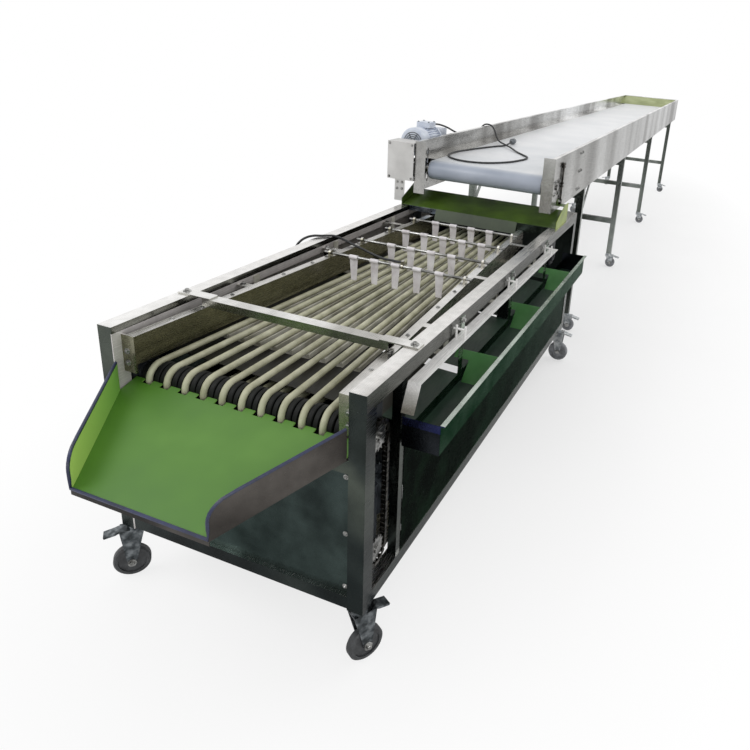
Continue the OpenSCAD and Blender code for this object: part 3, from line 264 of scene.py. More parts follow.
def parted(name, base, zones, rough, metallic=0.0, cloud_mm=120, matt=None, edge=None):
    """Sheet whose zones, each (colours, tests), have colours of their own. A matt zone is brushed dull, and an
    edge colour dims what a metal sheet mirrors at a flat angle. Its fine lines are drawn 3 mm apart to show."""
    material, tree, shader, place = new_material(name)
    layers = [(base, None)] + [(colours, inside(tree, place, tests)) for colours, tests in zones]
    colour = layered(tree, spots(tree, place, cloud_mm), layers)
    surface(tree, shader, colour, spots(tree, place, 3, 2, (1, 0.1, 1)), 0.1, 0.15, rough)
    shader.inputs["Metallic"].default_value = metallic
    if edge:
        shader.inputs["Specular Tint"].default_value = rgb(edge)
    if matt:
        brushed(tree, shader, place, matt, metallic)
    return material


# Painted shade for the posts and the faces under the rails
POST_PAINTED_SHADE = ("252A28", "363C3A", "50564F")
# Polished tube with painted reflection: tops painted bright and sides painted dark, so the frame reads as two long
# light lines on dark posts. Posts and faces under the rails are painted darker as shade, darkest low on the front
# posts, and the inside of the left rail carries a matt pale band painted as reflected light
STEEL_RAIL = stainless("polished_stainless_rail", ("2E2F2B", "4E4F4A", "7E7E78"), ("A8A6A1", "E4E2DF", "F4F3F1"),
                       zones=[(POST_PAINTED_SHADE, UNDER_RAILS), (POST_PAINTED_SHADE, FRONT_FACES),
                              (("171C1C", "232A2A", "353C3A"), FRONT_POSTS_LOW),
                              (("A29C98", "B8B3B0", "CCC8C6"), LEFT_RAIL_INSIDE)], matt=LEFT_RAIL_INSIDE)
STRIP_PALE = ("D6D4D1", "EDECEA", "F8F7F6")
# Brushed flat bar made matt: a pale line along the trough, its own brushed tone lightened as painted reflection, and
# greyer where its end bends down as painted shade
STEEL_STRIP = stainless("brushed_guard_strip", STRIP_PALE, STRIP_PALE,
                        zones=[(("7E7B70", "9C998E", "B8B6AE"), STRIP_BEND)], matt=ALL_OVER)
# Polished folded bar: a bright top edge across the belts, a painted highlight on its level faces
STEEL_BAR = stainless("polished_stainless_bar", ("6A6963", "94938D", "BCBBB6"), ("B4B2AD", "E2E1DE", "F2F1EF"))
# Rolled plate: tall soft bands painted as reflections of the room, level faces painted lighter, and a painted
# highlight that grows brighter along the conveyor
STEEL_PLATE = stainless("rolled_stainless_plate", ("6C6A66", "A9A8A5", "D8D8D6"), ("A4A29E", "CDCCC9", "EBEBE9"),
                        (1, 1, 0.12), band_mm=420, far=("949290", "DEDEDD", "FAFAFA"))
# Drawn tube with a greenish grey cast and a soft gleam along it
STEEL_LEG = stainless("leg_tube_stainless", ("4C514C", "767C76", "A7ACA8"), run=(1, 1, 0.12))
# Brownish sheet painted dark as a dark painted reflection, so the green lining stands out against its walls
STEEL_SHEET = stainless("stainless_sheet_painted_dark", ("2A2826", "423F3C", "625E5A"), rough=(0.26, 0.42))
# Folded sheet: a light upper edge, a painted highlight on level faces, and the left board darker towards the front
STEEL_BOARD = stainless("folded_stainless_board", ("807C6E", "9E9A8D", "C0BDB4"), ("A09E99", "D6D4D0", "F0EFED"),
                        rough=(0.2, 0.36), zones=[(("5F5E4C", "75745F", "94927E"), LEFT_BOARD_NEAR)])
# Turned metal: fine rings and a narrow gleam
STEEL_TURNED = stainless("turned_steel", ("6C6C6A", "949492", "BEBEBC"), run=(0.2, 1, 1), rough=(0.22, 0.34),
                         band_mm=20)
# Zinc plate, the darker tone for the front casters and the gear unit bolts: dark grey with small light spots
STEEL_ZINC = stainless("zinc_plated_pressing", ("3E4244", "5E6366", "8E9396"), run=(1, 1, 1), rough=(0.26, 0.44),
                       band_mm=24)
# Zinc plate, the lighter tone for the rear and feed casters: light grey with small spots
STEEL_BRIGHT = stainless("bright_zinc_pressing", ("8A8F92", "B2B6B8", "D8DADB"), run=(1, 1, 1), rough=(0.26, 0.44),
                         band_mm=24)
# Oiled links: near black with small glints
STEEL_CHAIN = stainless("oiled_chain_steel", ("1C1B18", "302E2A", "5A5752"), run=(1, 1, 1), rough=(0.28, 0.45),
                        band_mm=12)
# Blued sheet: a cool light edge on the left and a dark one on the right
STEEL_HEM = stainless("blued_stainless_hem", ("5A6470", "848E9A", "C4CCD6"), band_mm=60,
                      zones=[(("363F3A", "48524C", "5E6862"), RIGHT_HEM)])
# Calendered sheet: an even grass green, walls painted a lighter green as painted light, lightest towards the front
GREEN_CHUTE = soft_sheet("green_pvc_chute", "467422", "4D7C23", "57862C", cloud_mm=260,
                         walls=("7FB650", "B4D86C"))
# Calendered sheet: olive, painted dark as the shade of the conveyor, a darker grey green painted on the apron as the
# shade under the sheet's edge, and yellowish on the right wall
GREEN_TRANSFER = parted("green_pvc_transfer", ("2A3E08", "4A641C"),
                        [(("27331F", "3C4930"), TRANSFER_APRON), (("74863A", "A8B65C"), TRANSFER_RIGHT)],
                        (0.36, 0.46))
# Calendered sheet: pale yellowish green, matt
PALE_LINER = soft_sheet("pale_green_pvc_liner", "8E985E", "A2AC72", "B6BF8A", 0.5, 160)
# Extruded cord: matt olive cream with faint cloudy wear
BELT_ROUND = moulded("pale_round_polyurethane", "9C9B80", "C6C5AC", (0.42, 0.6), 4, 60)
# Worn pressed channel: grey and cream by turns between the belts
BELT_GUIDE = moulded("worn_pale_guide_channel", "8E8B7C", "D2D0C6", (0.3, 0.5), 3, 90)
# Coated fabric: matt white, painted bluish grey where it turns down over the drum as painted shade, and lighter along
# the conveyor as a painted highlight
BELT_FLAT = parted("white_food_belt", ("CFD3D7", "E5E6E8"),
                   [(("99A1AF", "B2B9C6"), BELT_TURN), (("E6E8EA", "F2F3F4"), BELT_FAR)],
                   (0.3, 0.42), cloud_mm=300)
# Moulded nylon: black with hardly any gleam, so the belts stand out
BLACK_PULLEY = moulded("black_nylon_pulley", "070807", "121412", (0.5, 0.66), sheen=0.18)
# Painted casting: dark and grainy
BEARING_PAINT = moulded("painted_bearing_casting", "1E2124", "34373A", (0.45, 0.65), 2)
# Enamel: light blue grey with a soft gleam on the fins
MOTOR_PAINT = moulded("blue_grey_enamel", "C0C8D8", "DCE2EC", (0.28, 0.42), 4)
# Enamel painted dark grey as the shade of its bay, so the unit stays back in it
MOTOR_DARK = moulded("dark_grey_enamel_painted_shade", "2C3034", "44494E", (0.3, 0.45), 4)
# Powder coat: even light grey, matt
GUARD_PAINT = moulded("light_grey_powder_coat", "C3C2C0", "D8D7D5", (0.42, 0.56), 2, 90)
# Extruded sheath: black with a dull gleam along the top
CABLE = moulded("black_cable_sheath", "141516", "26282A", (0.5, 0.66), 2, 20)
# Moulded grey with a fine grain
PLUG = moulded("grey_plug_moulding", "5A5E62", "74797E", (0.45, 0.6), 2)
# Cast tread: dark grey, matt and slightly uneven
WHEEL = moulded("dark_cast_wheel", "2A2B2D", "47494B", (0.4, 0.58), 3, 25)
# Rubber tread: mid grey, matt
WHEEL_GREY = moulded("grey_rubber_wheel", "66686A", "94969A", (0.42, 0.6), 3, 25)
# Black matt sheet put under the belts as painted shade, which keeps the gaps between the belts dark
SHADE_SHEET = moulded("black_painted_shade_sheet", "0C0D0A", "191A15", (0.6, 0.75), sheen=0.15)
# Extruded edging: a thin navy line round the chute
TRIM_NAVY = moulded("navy_edge_trim", "1A2038", "2B3254", (0.35, 0.5), 3, 30)
# Cast soft PVC: milky white with a smooth gleam
STRIP = moulded("milky_pvc_strip", "C9C4C6", "E9E6E9", (0.24, 0.34), 14, 60)
# Cold rolled sheet painted dark as a dark painted reflection, with wide clouds, a bluish dark painted reflection on
# the front panel, and a matt pale band painted as reflected light on the inside of the left panel
PANELS = parted("skirt_sheet_front_and_sides", ("1E2321", "363C39"),
                [(("2C3332", "45504E"), FRONT_PANEL), (("96908C", "B8B3B0"), LEFT_SKIRT)],
                (0.22, 0.36), 0.95, matt=LEFT_SKIRT, edge="98A29C")
# Folded sheet: deep green grey, a painted highlight along the rim, and dark end plates with a navy band on the front
# one
TROUGH = parted("stainless_trough_navy_ends", ("2E3A31", "4E5C52"),
                [(("B4BCB4", "DCE4DC"), TROUGH_RIM), (("1B1D20", "2C2F33"), TROUGH_FRONT),
                 (("22264A", "3A3F62"), TROUGH_FRONT_TOP), (("24262C", "383B42"), TROUGH_REAR)],
                (0.2, 0.34), 1.0, edge="A4B0A8")
# Lit green of the dividers: painted light
DIVIDER_GREEN = ("386E34", "4C8648")
# Coated green sheet: painted near black under the belts as shade, deep green in the trough as painted shade, and
# grass green on the dividers as painted light where light falls on them
TRAYS = parted("green_tray_and_divider", ("14130B", "232114"),
               [(("10231A", "1D3526"), IN_TROUGH), (DIVIDER_GREEN, OUTER_DIVIDERS),
                (DIVIDER_GREEN, INNER_DIVIDERS)], (0.4, 0.56))

FINISHES = {
    STEEL_RAIL: ("grader_frame",),
    STEEL_BAR: ("cross_bar",),
    STEEL_STRIP: ("guard_strip",),
    BELT_GUIDE: ("belt_supports",),
    STEEL_PLATE: ("conveyor_frame",),
    STEEL_LEG: ("conveyor_legs",),
    STEEL_SHEET: ("chute_shell",),
    STEEL_BOARD: ("guide_boards",),
    STEEL_TURNED: ("drive_shaft", "motor_sprocket", "feed_sprocket", "head_drum", "tail_drum"),
    STEEL_CHAIN: ("drive_chain", "feed_chain_loop"),
    GREEN_CHUTE: ("chute_lining",),
    GREEN_TRANSFER: ("transfer_chute",),
    PALE_LINER: ("hopper_liner",),
    BELT_ROUND: ("sorting_belts",),
    BELT_FLAT: ("conveyor_belt",),
    BLACK_PULLEY: ("drive_pulleys", "rear_roller"),
    BEARING_PAINT: ("bearing_units",),
    MOTOR_PAINT: ("feed_gearmotor",),
    MOTOR_DARK: ("grader_gearmotor",),
    GUARD_PAINT: ("drive_guard",),
    PLUG: ("lead_plug",),
    CABLE: ("motor_lead", "curtain_cable"),
    STRIP: tuple(f"curtain_row_{k}" for k in range(1, 5)),
    PANELS: ("skirt_panels",),
    TROUGH: ("side_trough",),
    TRAYS: ("collecting_trays",),
    STEEL_ZINC: ("grader_fork_1", "grader_fork_2"),
    STEEL_BRIGHT: ("grader_fork_3", "grader_fork_4") + tuple(f"feed_fork_{k}" for k in range(1, 9)),
    WHEEL: ("grader_wheel_1", "grader_wheel_2"),
    WHEEL_GREY: ("grader_wheel_3", "grader_wheel_4") + tuple(f"feed_wheel_{k}" for k in range(1, 9)),
}
for finish, names in FINISHES.items():
    for name in names:
        NODES[name].data.materials.clear()
        NODES[name].data.materials.append(finish)

# Making pieces: points closer than WELD are one, and an edge turned by more than RIM_ANGLE is a rim
WELD = 1e-6
RIM_ANGLE = 1.2
CREASE = math.radians(35)


def finish_piece(bm, name, material, body):
    """A bmesh as a piece on a body, with its finish."""
    bmesh.ops.remove_doubles(bm, verts=bm.verts, dist=WELD)
    bmesh.ops.recalc_face_normals(bm, faces=bm.faces)
    mesh = bpy.data.meshes.new(name)
    bm.to_mesh(mesh)
    bm.free()
    mesh.materials.append(material)
    mesh.shade_smooth()
    mesh.set_sharp_from_angle(angle=CREASE)
    piece = bpy.data.objects.new(name, mesh)
    bpy.context.scene.collection.objects.link(piece)
    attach(piece, body)
    return piece


def facing(direction):
    """A turn that takes +Z to a direction."""
    return Vector((0, 0, 1)).rotation_difference(Vector(direction)).to_matrix().to_4x4()


def sweep(bm, stations, segments, closed, start=0.0):
    """Loops at stations, each (place, across, above), bridged one to the next."""
    loops = []
    for place, across, above in stations:
        turn = Matrix((across, above, across.cross(above))).transposed().to_4x4()
        made = bmesh.ops.create_circle(bm, cap_ends=False, segments=segments, radius=1.0,
                                       matrix=Matrix.Translation(place) @ turn @ Matrix.Rotation(start, 4, "Z"))
        loops.append(list(dict.fromkeys(e for v in made["verts"] for e in v.link_edges)))
    pairs = list(zip(loops, loops[1:])) + ([(loops[-1], loops[0])] if closed else [])
    for a, b in pairs:
        bmesh.ops.bridge_loops(bm, edges=a + b)
    if not closed:
        for ends in (loops[0], loops[-1]):
            bmesh.ops.contextual_create(bm, geom=ends)


def round_off(bm, edges, size, segments=2):
    """Rounds edges off."""
    bmesh.ops.bevel(bm, geom=edges, offset=size, offset_type="OFFSET", affect="EDGES", segments=segments,
                    profile=0.5, material=-1)


def rims(bm):
    """The sharp edges of a closed form."""
    return [e for e in bm.edges if e.calc_face_angle(0) > RIM_ANGLE]


def cross_rod(bm, place, radius, length):
    """A round bar that lies across the machine."""
    bmesh.ops.create_cone(bm, cap_ends=True, segments=24, radius1=radius, radius2=radius, depth=length,
                          matrix=Matrix.Translation(place) @ Matrix.Rotation(math.pi / 2, 4, "Y"))


# Leads: the routes are the drawing's own
LEAD_RADIUS = 0.005
LEAD_ROUTE = (
    (-440, 2268.8, 1263.9), (-439.5, 2300, 1262.5), (-433, 2350, 1255), (-417, 2410, 1238), (-398, 2475, 1212),
    (-385, 2545, 1192), (-381, 2600, 1184.2), (-381, 2680, 1184), (-381, 2760, 1184), (-381.5, 2830, 1189),
    (-382, 2890, 1203), (-382, 2930, 1216), (-376, 2953, 1221.5), (-360, 2970, 1221), (-341, 2978, 1213),
    (-320, 2970, 1195),
    (-298, 2945, 1170), (-268, 2900, 1146), (-230, 2848, 1134), (-183, 2790, 1131.5), (-112, 2705, 1127),
    (-42, 2608, 1121), (25, 2520, 1120.5), (70, 2455, 1120.5), (82, 2385, 1120.5), (70, 2300, 1120.5),
    (38, 2195, 1120.5), (-14, 2110, 1120.5), (-78, 2058, 1120.5), (-150, 2044, 1120.5), (-220, 2068, 1120.5),
    (-276, 2122, 1120.5), (-306, 2200, 1120.5), (-312, 2300, 1120.5), (-296, 2420, 1120.5),
    (-268, 2545, 1120.5), (-236, 2665, 1120.5), (-210, 2740, 1120.5), (-188, 2800, 1120.5),
    (-178, 2860, 1126), (-179, 2915, 1133.3))
CABLE_ROUTE = (
    (-449.3, 1000, 790), (-466, 1000, 790), (-482, 1003.5, 799), (-490, 1010, 818), (-490, 1020, 842),
    (-480, 1034, 864), (-462, 1052, 880), (-440, 1072, 887), (-415, 1096, 885.6), (-393, 1114, 885.6),
    (-373, 1127, 885), (-350, 1138, 877.5), (-318, 1145, 865), (-285, 1142, 857), (-240, 1126, 853),
    (-190, 1100, 852), (-140, 1070, 854), (-90, 1036, 860), (-48, 1008, 869), (-16, 988, 876), (6, 981, 878),
    (25.7, 981, 878))


def lead(name, route, node):
    """A round lead on one smooth line through its route."""
    curve = bpy.data.curves.new(name, "CURVE")
    curve.dimensions = "3D"
    curve.bevel_depth = LEAD_RADIUS
    curve.bevel_resolution = 4
    curve.resolution_u = 6
    curve.use_fill_caps = True
    line = curve.splines.new("BEZIER")
    line.bezier_points.add(len(route) - 1)
    for point, spot in zip(line.bezier_points, route):
        point.co = at(*spot)
        point.handle_left_type = point.handle_right_type = "AUTO"
    curve.materials.append(CABLE)
    piece = bpy.data.objects.new(name, curve)
    bpy.context.scene.collection.objects.link(piece)
    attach(piece, "machine")
    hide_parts(node)
    return piece, line.calc_length()


feed_lead, feed_length = lead("feed_motor_lead", LEAD_ROUTE, "motor_lead")
row_lead, row_length = lead("curtain_row_cable", CABLE_ROUTE, "curtain_cable")

# Round belts: axles, spacing of the grooves at each end, and radii of a loop and of the belt itself
FRONT_Y, REAR_Y, AXLE_Z, BED_RISE = 110.0, 1980.0, 697.0, 17.0
BELTS, FRONT_PITCH, REAR_PITCH = 11, 65, 36
LOOP_R, BELT_R = 0.045, 0.010


def round_ends(steps):
    """Angles from upright round a loop's rear end, then round its front end, each as (end, angle)."""
    return [(end, math.pi * (k / steps + end)) for end in (0, 1) for k in range(steps + 1)]


def round_belts():
    """Loops that lie in the grooves, each swept round its own plane."""
    bm = bmesh.new()
    for i in range(BELTS):
        place = i - (BELTS - 1) / 2
        front = at(place * FRONT_PITCH, FRONT_Y, AXLE_Z)
        rear = at(place * REAR_PITCH, REAR_Y, AXLE_Z + BED_RISE)
        along = (rear - front).normalized()
        side = along.cross(Vector((0, 0, 1))).normalized()
        crown = side.cross(along)
        stations = []
        for end, turn in round_ends(12):
            out = along * math.sin(turn) + crown * math.cos(turn)
            stations.append(((rear, front)[end] + out * LOOP_R, side * BELT_R, out * BELT_R))
        sweep(bm, stations, 14, True)
    piece = finish_piece(bm, "round_sorting_belts", BELT_ROUND, "machine")
    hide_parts("sorting_belts")


round_belts()

# Flat belt: the drums' places, the radius at the middle of the belt, and half its width and thickness
DRUM_Z, HEAD_Y, TAIL_Y = 1066.7, 1966.0, 8750.0
FLAT_R = 0.0468
FLAT_HALF_W, FLAT_HALF_T = 0.305, 0.0015


def flat_belt():
    """Flat belt round both drums, with slightly rounded edges."""
    bm = bmesh.new()
    corner = math.sqrt(2)
    stations = []
    for end, turn in round_ends(16):
        out = Vector((0, math.sin(turn), math.cos(turn)))
        stations.append((at(0, (TAIL_Y, HEAD_Y)[end], DRUM_Z) + out * FLAT_R,
                         Vector((FLAT_HALF_W * corner, 0, 0)), out * FLAT_HALF_T * corner))
    sweep(bm, stations, 4, True, math.radians(45))
    bmesh.ops.remove_doubles(bm, verts=bm.verts, dist=WELD)
    bmesh.ops.recalc_face_normals(bm, faces=bm.faces)
    round_off(bm, rims(bm), 0.0008)
    piece = finish_piece(bm, "flat_feed_belt", BELT_FLAT, "machine")
    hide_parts("conveyor_belt")


flat_belt()

# Curtain rows: rods across the boards, the strips' places in millimetres and sizes in metres, and how far the boards
# stand from the middle in front and close in to the rear
ROD_Z, ROD_R, ROD_PAST_BOARD = 861.5, 0.006, 42
FIRST_ROW_Y, ROW_STEP, STRIP_PITCH = 980, 233, 94
STRIP_TOP, STRIP_DROP = ROD_Z - 8, 95.5
STRIP_W, STRIP_TAPER, STRIP_T, SLEEVE_R = 0.036, 0.01, 0.0022, 0.009
STRIP_LEAN, STRIP_CURL = 0.0016, 0.008
BOARD_X, BOARD_CLOSES = 329, 105


def board_face(y):
    """Distance of a guide board's inner face from the middle, at distance y."""
    return BOARD_X - (y - FRONT_Y) * BOARD_CLOSES / (REAR_Y - FRONT_Y)


def curtain(k, count):
    """Soft strips that hang a little curled from sleeves on a rod."""
    y = FIRST_ROW_Y + ROW_STEP * k
    body = f"curtain_{k + 1}"
    reach = board_face(y) + ROD_PAST_BOARD
    drop = (STRIP_DROP - BED_RISE * (y - FRONT_Y) / (REAR_Y - FRONT_Y)) / 1000
    bm = bmesh.new()
    for j in range(count):
        x = (j - (count - 1) / 2) * STRIP_PITCH
        lean = STRIP_LEAN * math.sin(2.2 * j + 1.7 * k)
        curl = STRIP_CURL * math.cos(1.3 * j + k)
        grid = bmesh.ops.create_grid(bm, x_segments=6, y_segments=10, size=0.5)["verts"]
        for v in grid:
            across, down = v.co.x, 0.5 - v.co.y
            v.co = at(x, y, STRIP_TOP) + Vector((across * (STRIP_W - STRIP_TAPER * down),
                                                 (lean + curl * across * across) * down, -down * drop))
        faces = list(dict.fromkeys(f for v in grid for f in v.link_faces))
        bmesh.ops.solidify(bm, geom=faces, thickness=STRIP_T)
        cross_rod(bm, at(x, y, ROD_Z), SLEEVE_R, STRIP_W)
    strips = finish_piece(bm, f"curtain_strips_{k + 1}", STRIP, body)
    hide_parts(f"curtain_row_{k + 1}")
    bm = bmesh.new()
    cross_rod(bm, at(0, y, ROD_Z), ROD_R, 2 * reach / 1000)
    round_off(bm, rims(bm), 0.001)
    finish_piece(bm, f"curtain_rod_{k + 1}", STEEL_TURNED, body)


for k, count in enumerate((5, 4, 5, 4)):
    curtain(k, count)

# Washer, head and chamfer of a bolt in shares of its width over flats: sides, lower and upper radius, depth,
# height of the middle
BOLT_PARTS = ((20, 1.0, 0.96, 0.16, 0.08), (6, 0.56, 0.56, 0.42, 0.36), (6, 0.56, 0.44, 0.1, 0.62))


def hex_bolt(bm, place, direction, flats_mm):
    """A hexagon head on its washer, seated at a place and facing a direction."""
    size = flats_mm / 1000
    turn = Matrix.Translation(place) @ facing(direction)
    for sides, low, high, depth, middle in BOLT_PARTS:
        bmesh.ops.create_cone(bm, cap_ends=True, segments=sides, radius1=size * low, radius2=size * high,
                              depth=size * depth, matrix=turn @ Matrix.Translation((0, 0, size * middle)))


def bolt_set(name, spots_mm, body="machine", material=STEEL_TURNED):
    """Bolts as one piece: each is (x, y, z, direction, width over flats)."""
    bm = bmesh.new()
    for x, y, z, direction, size in spots_mm:
        hex_bolt(bm, at(x, y, z), direction, size)
    finish_piece(bm, name, material, body)


LEFT, RIGHT = (-1, 0, 0), (1, 0, 0)
UP, DOWN, FORE, BACK = (0, 0, 1), (0, 0, -1), (0, -1, 0), (0, 1, 0)
CARRIERS = (620, 1150, 1680)
LEG_ROWS = (2740, 4310, 6160, 8250)
# The grader: tongues of the cross bar, front ends, tabs and flanges of the boards, front panel, bearing hangers,
# bracket of the transfer chute and straps of the trough
grader_bolts = []
for s, out in ((-1, LEFT), (1, RIGHT)):
    grader_bolts += [(s * 405, 315, 884.3, UP, 13), (s * 362, 30, 800, FORE, 10), (s * 362, 30, 764, FORE, 10)]
    grader_bolts += [(s * 364, y - 90, 850.1, UP, 11) for y in CARRIERS]
    grader_bolts += [(s * (board_face(y) + 15), y, 850.1, UP, 8) for y in (180, 300, 430, 690, 860)]
    grader_bolts += [(s * 366, 14, z, FORE, 8) for z in (262, 440, 620)]
    grader_bolts += [(s * 390.1, y + d, 795, out, 12) for y in (FRONT_Y, REAR_Y) for d in (-32, 32)]
    grader_bolts += [(s * 377.9, 2040, 984, out, 11)]
grader_bolts += [(433.4, y, 856, RIGHT, 12) for y in CARRIERS]
bolt_set("grader_bolts", grader_bolts)

# The conveyor: head bearings, joints of the head and side plates, leg frames and end plate
feed_bolts = []
for s, out in ((-1, LEFT), (1, RIGHT)):
    feed_bolts += [(s * 375.1, HEAD_Y + a, DRUM_Z + b, out, 13) for a in (-32, 32) for b in (-32, 26)]
    feed_bolts += [(s * 375.1, y, z, out, 11) for y in (2478, 2522) for z in (975, 1078, 1180)]
    feed_bolts += [(s * 345, y + d, 936.6, DOWN, 12) for y in LEG_ROWS for d in (-38, 38)]
feed_bolts += [(x, 8840.1, z, BACK, 11) for x in (-355, 0, 355) for z in (965, 1190)]
bolt_set("conveyor_bolts", feed_bolts)

guard_screws = [(x, 1885, z, FORE, 7) for x in (-514, -387) for z in (1017, 1190)]
guard_screws += [(-525.4, y, z, LEFT, 7) for y in (1900, 1992) for z in (1017, 1190)]
guard_screws += [(x, 1888, z, FORE, 8) for x in (-466, -438) for z in (958, 992)]
bolt_set("guard_screws", guard_screws)

unit_bolts = []
for x, y, z, s in ((330, FRONT_Y, 328.6, 1), (-460, 2336, DRUM_Z, -1)):
    unit_bolts += [(x - 45.1, y + a, z + b, LEFT, 9) for a in (-50, 50) for b in (-70, 70, 158)]
    unit_bolts += [(x + a, y + s * b, z + 214.3, UP, 6) for a in (-31, 31) for b in (95, 165)]
bolt_set("gear_unit_bolts", unit_bolts, material=STEEL_ZINC)

# Axle nuts of the casters: a caster is (x, y, height of its axle, turn of its fork), and its axle lies TRAIL
# behind the swivel
TRAIL, AXLE_HALF = 20, 21.1
GRADER_CASTERS = ((-405, 25, 55, 225), (405, 25, 55, 60), (-405, 2275, 55, 180), (405, 2275, 55, 0))
FEED_CASTERS = [(s * 353, y, 40, 90 - 90 * s) for y in LEG_ROWS for s in (-1, 1)]
for tag, casters in (("grader", GRADER_CASTERS), ("feed", FEED_CASTERS)):
    for number, (x, y, z, turn) in enumerate(casters, 1):
        c, d = math.cos(math.radians(turn)), math.sin(math.radians(turn))
        x, y = x + TRAIL * c, y + TRAIL * d
        bolt_set(f"{tag}_axle_nuts_{number}",
                 [(x - e * AXLE_HALF * d, y + e * AXLE_HALF * c, z, (-e * d, e * c, 0), 14) for e in (-1, 1)],
                 f"{tag}_fork_{number}")

GRILLE_BAR = 0.0022


def cowl_grille(name, centre, direction):
    """Rings and spokes pressed into the end of a fan cowl."""
    bm = bmesh.new()
    turn = facing(direction)
    above = turn @ Vector((0, 0, GRILLE_BAR))
    for radius in (0.018, 0.029, 0.040, 0.051):
        stations = []
        for k in range(32):
            a = math.radians(360 * k / 32)
            out = turn @ Vector((math.cos(a), math.sin(a), 0))
            stations.append((centre + out * radius, out * GRILLE_BAR, above))
        sweep(bm, stations, 6, True)
    for k in range(6):
        a = math.radians(60 * k)
        out = turn @ Vector((math.cos(a), math.sin(a), 0))
        side = turn @ Vector((-math.sin(a), math.cos(a), 0))
        sweep(bm, [(centre + out * r, side * GRILLE_BAR, above) for r in (0.006, 0.053)], 6, False)
    finish_piece(bm, name, BEARING_PAINT, "machine")


cowl_grille("feed_cowl_grille", at(-460, 2043.4, 1184.7), FORE)
cowl_grille("grader_cowl_grille", at(330, 402.6, 446.6), BACK)

# Take-up screws beside the head drum, with their threads, blocks and nuts
SCREW_X, SCREW_Y, SCREW_LOW, SCREW_HIGH = 381.5, 2056, 975, 1172
THREADS, THREAD_R = 48, (0.0042, 0.0052)
BLOCK_X, BLOCK_SIZE = 381.6, (0.0126, 0.028, 0.014, 1)
NUT_R, NUT_T = 0.0095, 0.008


def take_up(name, s):
    """A threaded rod with nuts between two blocks on the head plate, over the slot."""
    bm = bmesh.new()
    step = (SCREW_HIGH - SCREW_LOW) / THREADS
    stations = []
    for k in range(THREADS + 1):
        r = THREAD_R[k % 2]
        stations.append((at(s * SCREW_X, SCREW_Y, SCREW_LOW + k * step), Vector((r, 0, 0)), Vector((0, r, 0))))
    sweep(bm, stations, 10, False)
    for z in (SCREW_LOW, SCREW_HIGH):
        block = Matrix.Translation(at(s * BLOCK_X, SCREW_Y, z)) @ Matrix.Diagonal(BLOCK_SIZE)
        made = bmesh.ops.create_cube(bm, size=1.0, matrix=block)
        round_off(bm, list(dict.fromkeys(e for v in made["verts"] for e in v.link_edges)), 0.0015)
    for z in (SCREW_LOW + 14, 1060, 1076, SCREW_HIGH - 14):
        bmesh.ops.create_cone(bm, cap_ends=True, segments=6, radius1=NUT_R, radius2=NUT_R, depth=NUT_T,
                              matrix=Matrix.Translation(at(s * SCREW_X, SCREW_Y, z)))
    finish_piece(bm, name, STEEL_CHAIN, "machine")


take_up("take_up_screw_right", 1)
take_up("take_up_screw_left", -1)

# Edge trim on the chute: its floor slopes from CHUTE_Z to the lip, and its walls close in by WALL_LEAN
CHUTE_Z, CHUTE_SLOPE = 683, math.radians(14.3)
REACH, CHUTE_GAP = 306.0, 0.3
LIP_Z = CHUTE_Z - REACH * math.tan(CHUTE_SLOPE)
WALL_X, WALL_LEAN = 375.0, 168.0
CORNER, WALL_HIGH = 42.0, 92.0
TRIM_R = 0.0042


def wall_point(y, z):
    """A point on the right wall's edge."""
    share = (-CHUTE_GAP - y) / (REACH - CHUTE_GAP)
    return WALL_X - share * WALL_LEAN, y, z


def chute_trim():
    """Folded edging over the wall tops, down the rounded corners and along the lip."""
    side = [wall_point(-2, 774.5), wall_point(-130, 741.5),
            wall_point(-REACH + CORNER + 20, LIP_Z + WALL_HIGH + 16)]
    for a in (75, 60, 45, 30, 15, 0):
        t = math.radians(a)
        fall = 1 - math.cos(t)
        side.append(wall_point(-REACH + CORNER * fall,
                               LIP_Z + WALL_HIGH - CORNER + CORNER * (math.sin(t) + 0.25 * fall)))
    side += [wall_point(-REACH, LIP_Z + 30), wall_point(-REACH, LIP_Z + 4)]
    path = [Vector(p) for p in side] + [Vector((-p[0], p[1], p[2])) for p in reversed(side)]
    bm = bmesh.new()
    stations = []
    for i, p in enumerate(path):
        t = (path[min(i + 1, len(path) - 1)] - path[max(i - 1, 0)]).normalized()
        across = t.cross(Vector((0, 0.35, 1)).normalized()).normalized()
        stations.append((at(*p), across * TRIM_R, t.cross(across).normalized() * -TRIM_R))
    sweep(bm, stations, 8, False)
    finish_piece(bm, "chute_edge_trim", TRIM_NAVY, "machine")


chute_trim()


def sheet(name, low, high, material):
    """A flat sheet between two corners, its edges broken."""
    bm = bmesh.new()
    a, b = at(*low), at(*high)
    bmesh.ops.create_cube(bm, size=1.0, matrix=Matrix.Translation((a + b) / 2) @ Matrix.Diagonal((*(b - a), 1)))
    round_off(bm, list(bm.edges), 0.0005, 1)
    finish_piece(bm, name, material, "machine")


# Hems of the transfer sheet beside its apron, and black sheets of painted shade under the drive pulleys and the chain
sheet("transfer_hem_left", (-377, 1857.4, 858), (-222, 1859.7, 883.8), STEEL_HEM)
sheet("transfer_hem_right", (222, 1857.4, 842), (377, 1859.7, 883.8), STEEL_HEM)
sheet("front_shade_sheet", (-376, 44, 628), (376, 345, 630), SHADE_SHEET)
sheet("chain_shade_sheet", (376.4, 54, 628), (389, 345, 630), SHADE_SHEET)


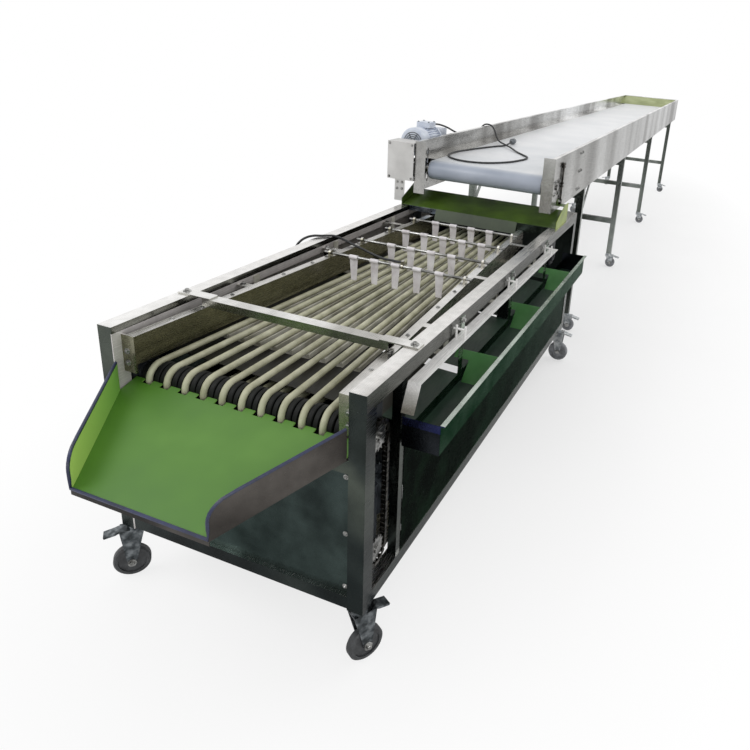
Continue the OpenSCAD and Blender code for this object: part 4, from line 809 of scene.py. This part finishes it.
def paper(name, dark, light):
    """Matt pale paper floor with the faintest mottle, which the camera sees go white away from the machine."""
    material, tree, shader, place = new_material(name)
    tone = add(tree, "ShaderNodeValToRGB", {"stops": ((0.3, rgb(dark)), (0.7, rgb(light)))},
               {"Fac": spots(tree, place, 900, 2)})
    tree.links.new(shader.inputs["Base Color"], tone.outputs["Color"])
    shader.inputs["Roughness"].default_value = 0.9
    squeezed = add(tree, "ShaderNodeMapping", {"Scale": (0.55, 0.16, 1)}, {"Vector": place})
    away = add(tree, "ShaderNodeVectorMath", {"operation": "LENGTH"}, {0: squeezed.outputs["Vector"]})
    white = add(tree, "ShaderNodeMapRange", {"From Min": 0.3, "From Max": 1.0, "To Min": 0.5, "To Max": 1.0},
                {"Value": away.outputs["Value"]})
    seen = add(tree, "ShaderNodeMath", {"operation": "MULTIPLY"},
               {0: white.outputs["Result"], 1: add(tree, "ShaderNodeLightPath").outputs["Is Camera Ray"]})
    glow = add(tree, "ShaderNodeEmission", {"Strength": 1.0})
    both = add(tree, "ShaderNodeMixShader", links={0: seen.outputs["Value"], 1: shader.outputs["BSDF"],
                                                  2: glow.outputs["Emission"]})
    tree.links.new(tree.nodes["Material Output"].inputs["Surface"], both.outputs["Shader"])
    return material


bm = bmesh.new()
bmesh.ops.create_grid(bm, x_segments=1, y_segments=1, size=40)
floor_mesh = bpy.data.meshes.new("floor")
bm.to_mesh(floor_mesh)
bm.free()
floor_mesh.materials.append(paper("pale_paper", "F4F4F4", "FAFAFA"))
floor = bpy.data.objects.new("floor", floor_mesh)
bpy.context.scene.collection.objects.link(floor)

# The world lights the machine softly, and is white to the camera, in metal and through glass.
world = bpy.data.worlds.new("studio")
bpy.context.scene.world = world
world.use_nodes = True
sky = world.node_tree
sky.nodes.clear()
rays = add(sky, "ShaderNodeLightPath").outputs
seen = rays["Is Camera Ray"]
for other in ("Is Glossy Ray", "Is Transmission Ray"):
    seen = add(sky, "ShaderNodeMath", {"operation": "MAXIMUM"}, {0: seen, 1: rays[other]}).outputs["Value"]
shine = add(sky, "ShaderNodeMapRange", {"To Min": 0.62, "To Max": 1.0}, {"Value": seen})
dome = add(sky, "ShaderNodeBackground", {"Color": (1, 1, 1, 1)}, {"Strength": shine.outputs["Result"]})
add(sky, "ShaderNodeOutputWorld", links={"Surface": dome.outputs["Background"]})


def lamp(name, spot, aim, size, watts):
    """A soft rectangular lamp at a spot, aimed at a point."""
    data = bpy.data.lights.new(name, "AREA")
    data.shape = "RECTANGLE"
    data.size, data.size_y = size
    data.energy = watts
    light = bpy.data.objects.new(name, data)
    light.matrix_world = Matrix.Translation(spot) @ facing(spot - aim)
    bpy.context.scene.collection.objects.link(light)


lamp("softbox_key", at(-2600, -1500, 4200), at(0, 900, 700), (2.4, 2.4), 75)
lamp("softbox_fill", at(1500, -1700, 1500), at(-300, -120, 700), (1.2, 1.2), 12)
lamp("softbox_rear", at(2600, 5200, 4600), at(0, 4600, 1000), (3.0, 5.0), 70)

bpy.context.scene.view_settings.view_transform = "Standard"
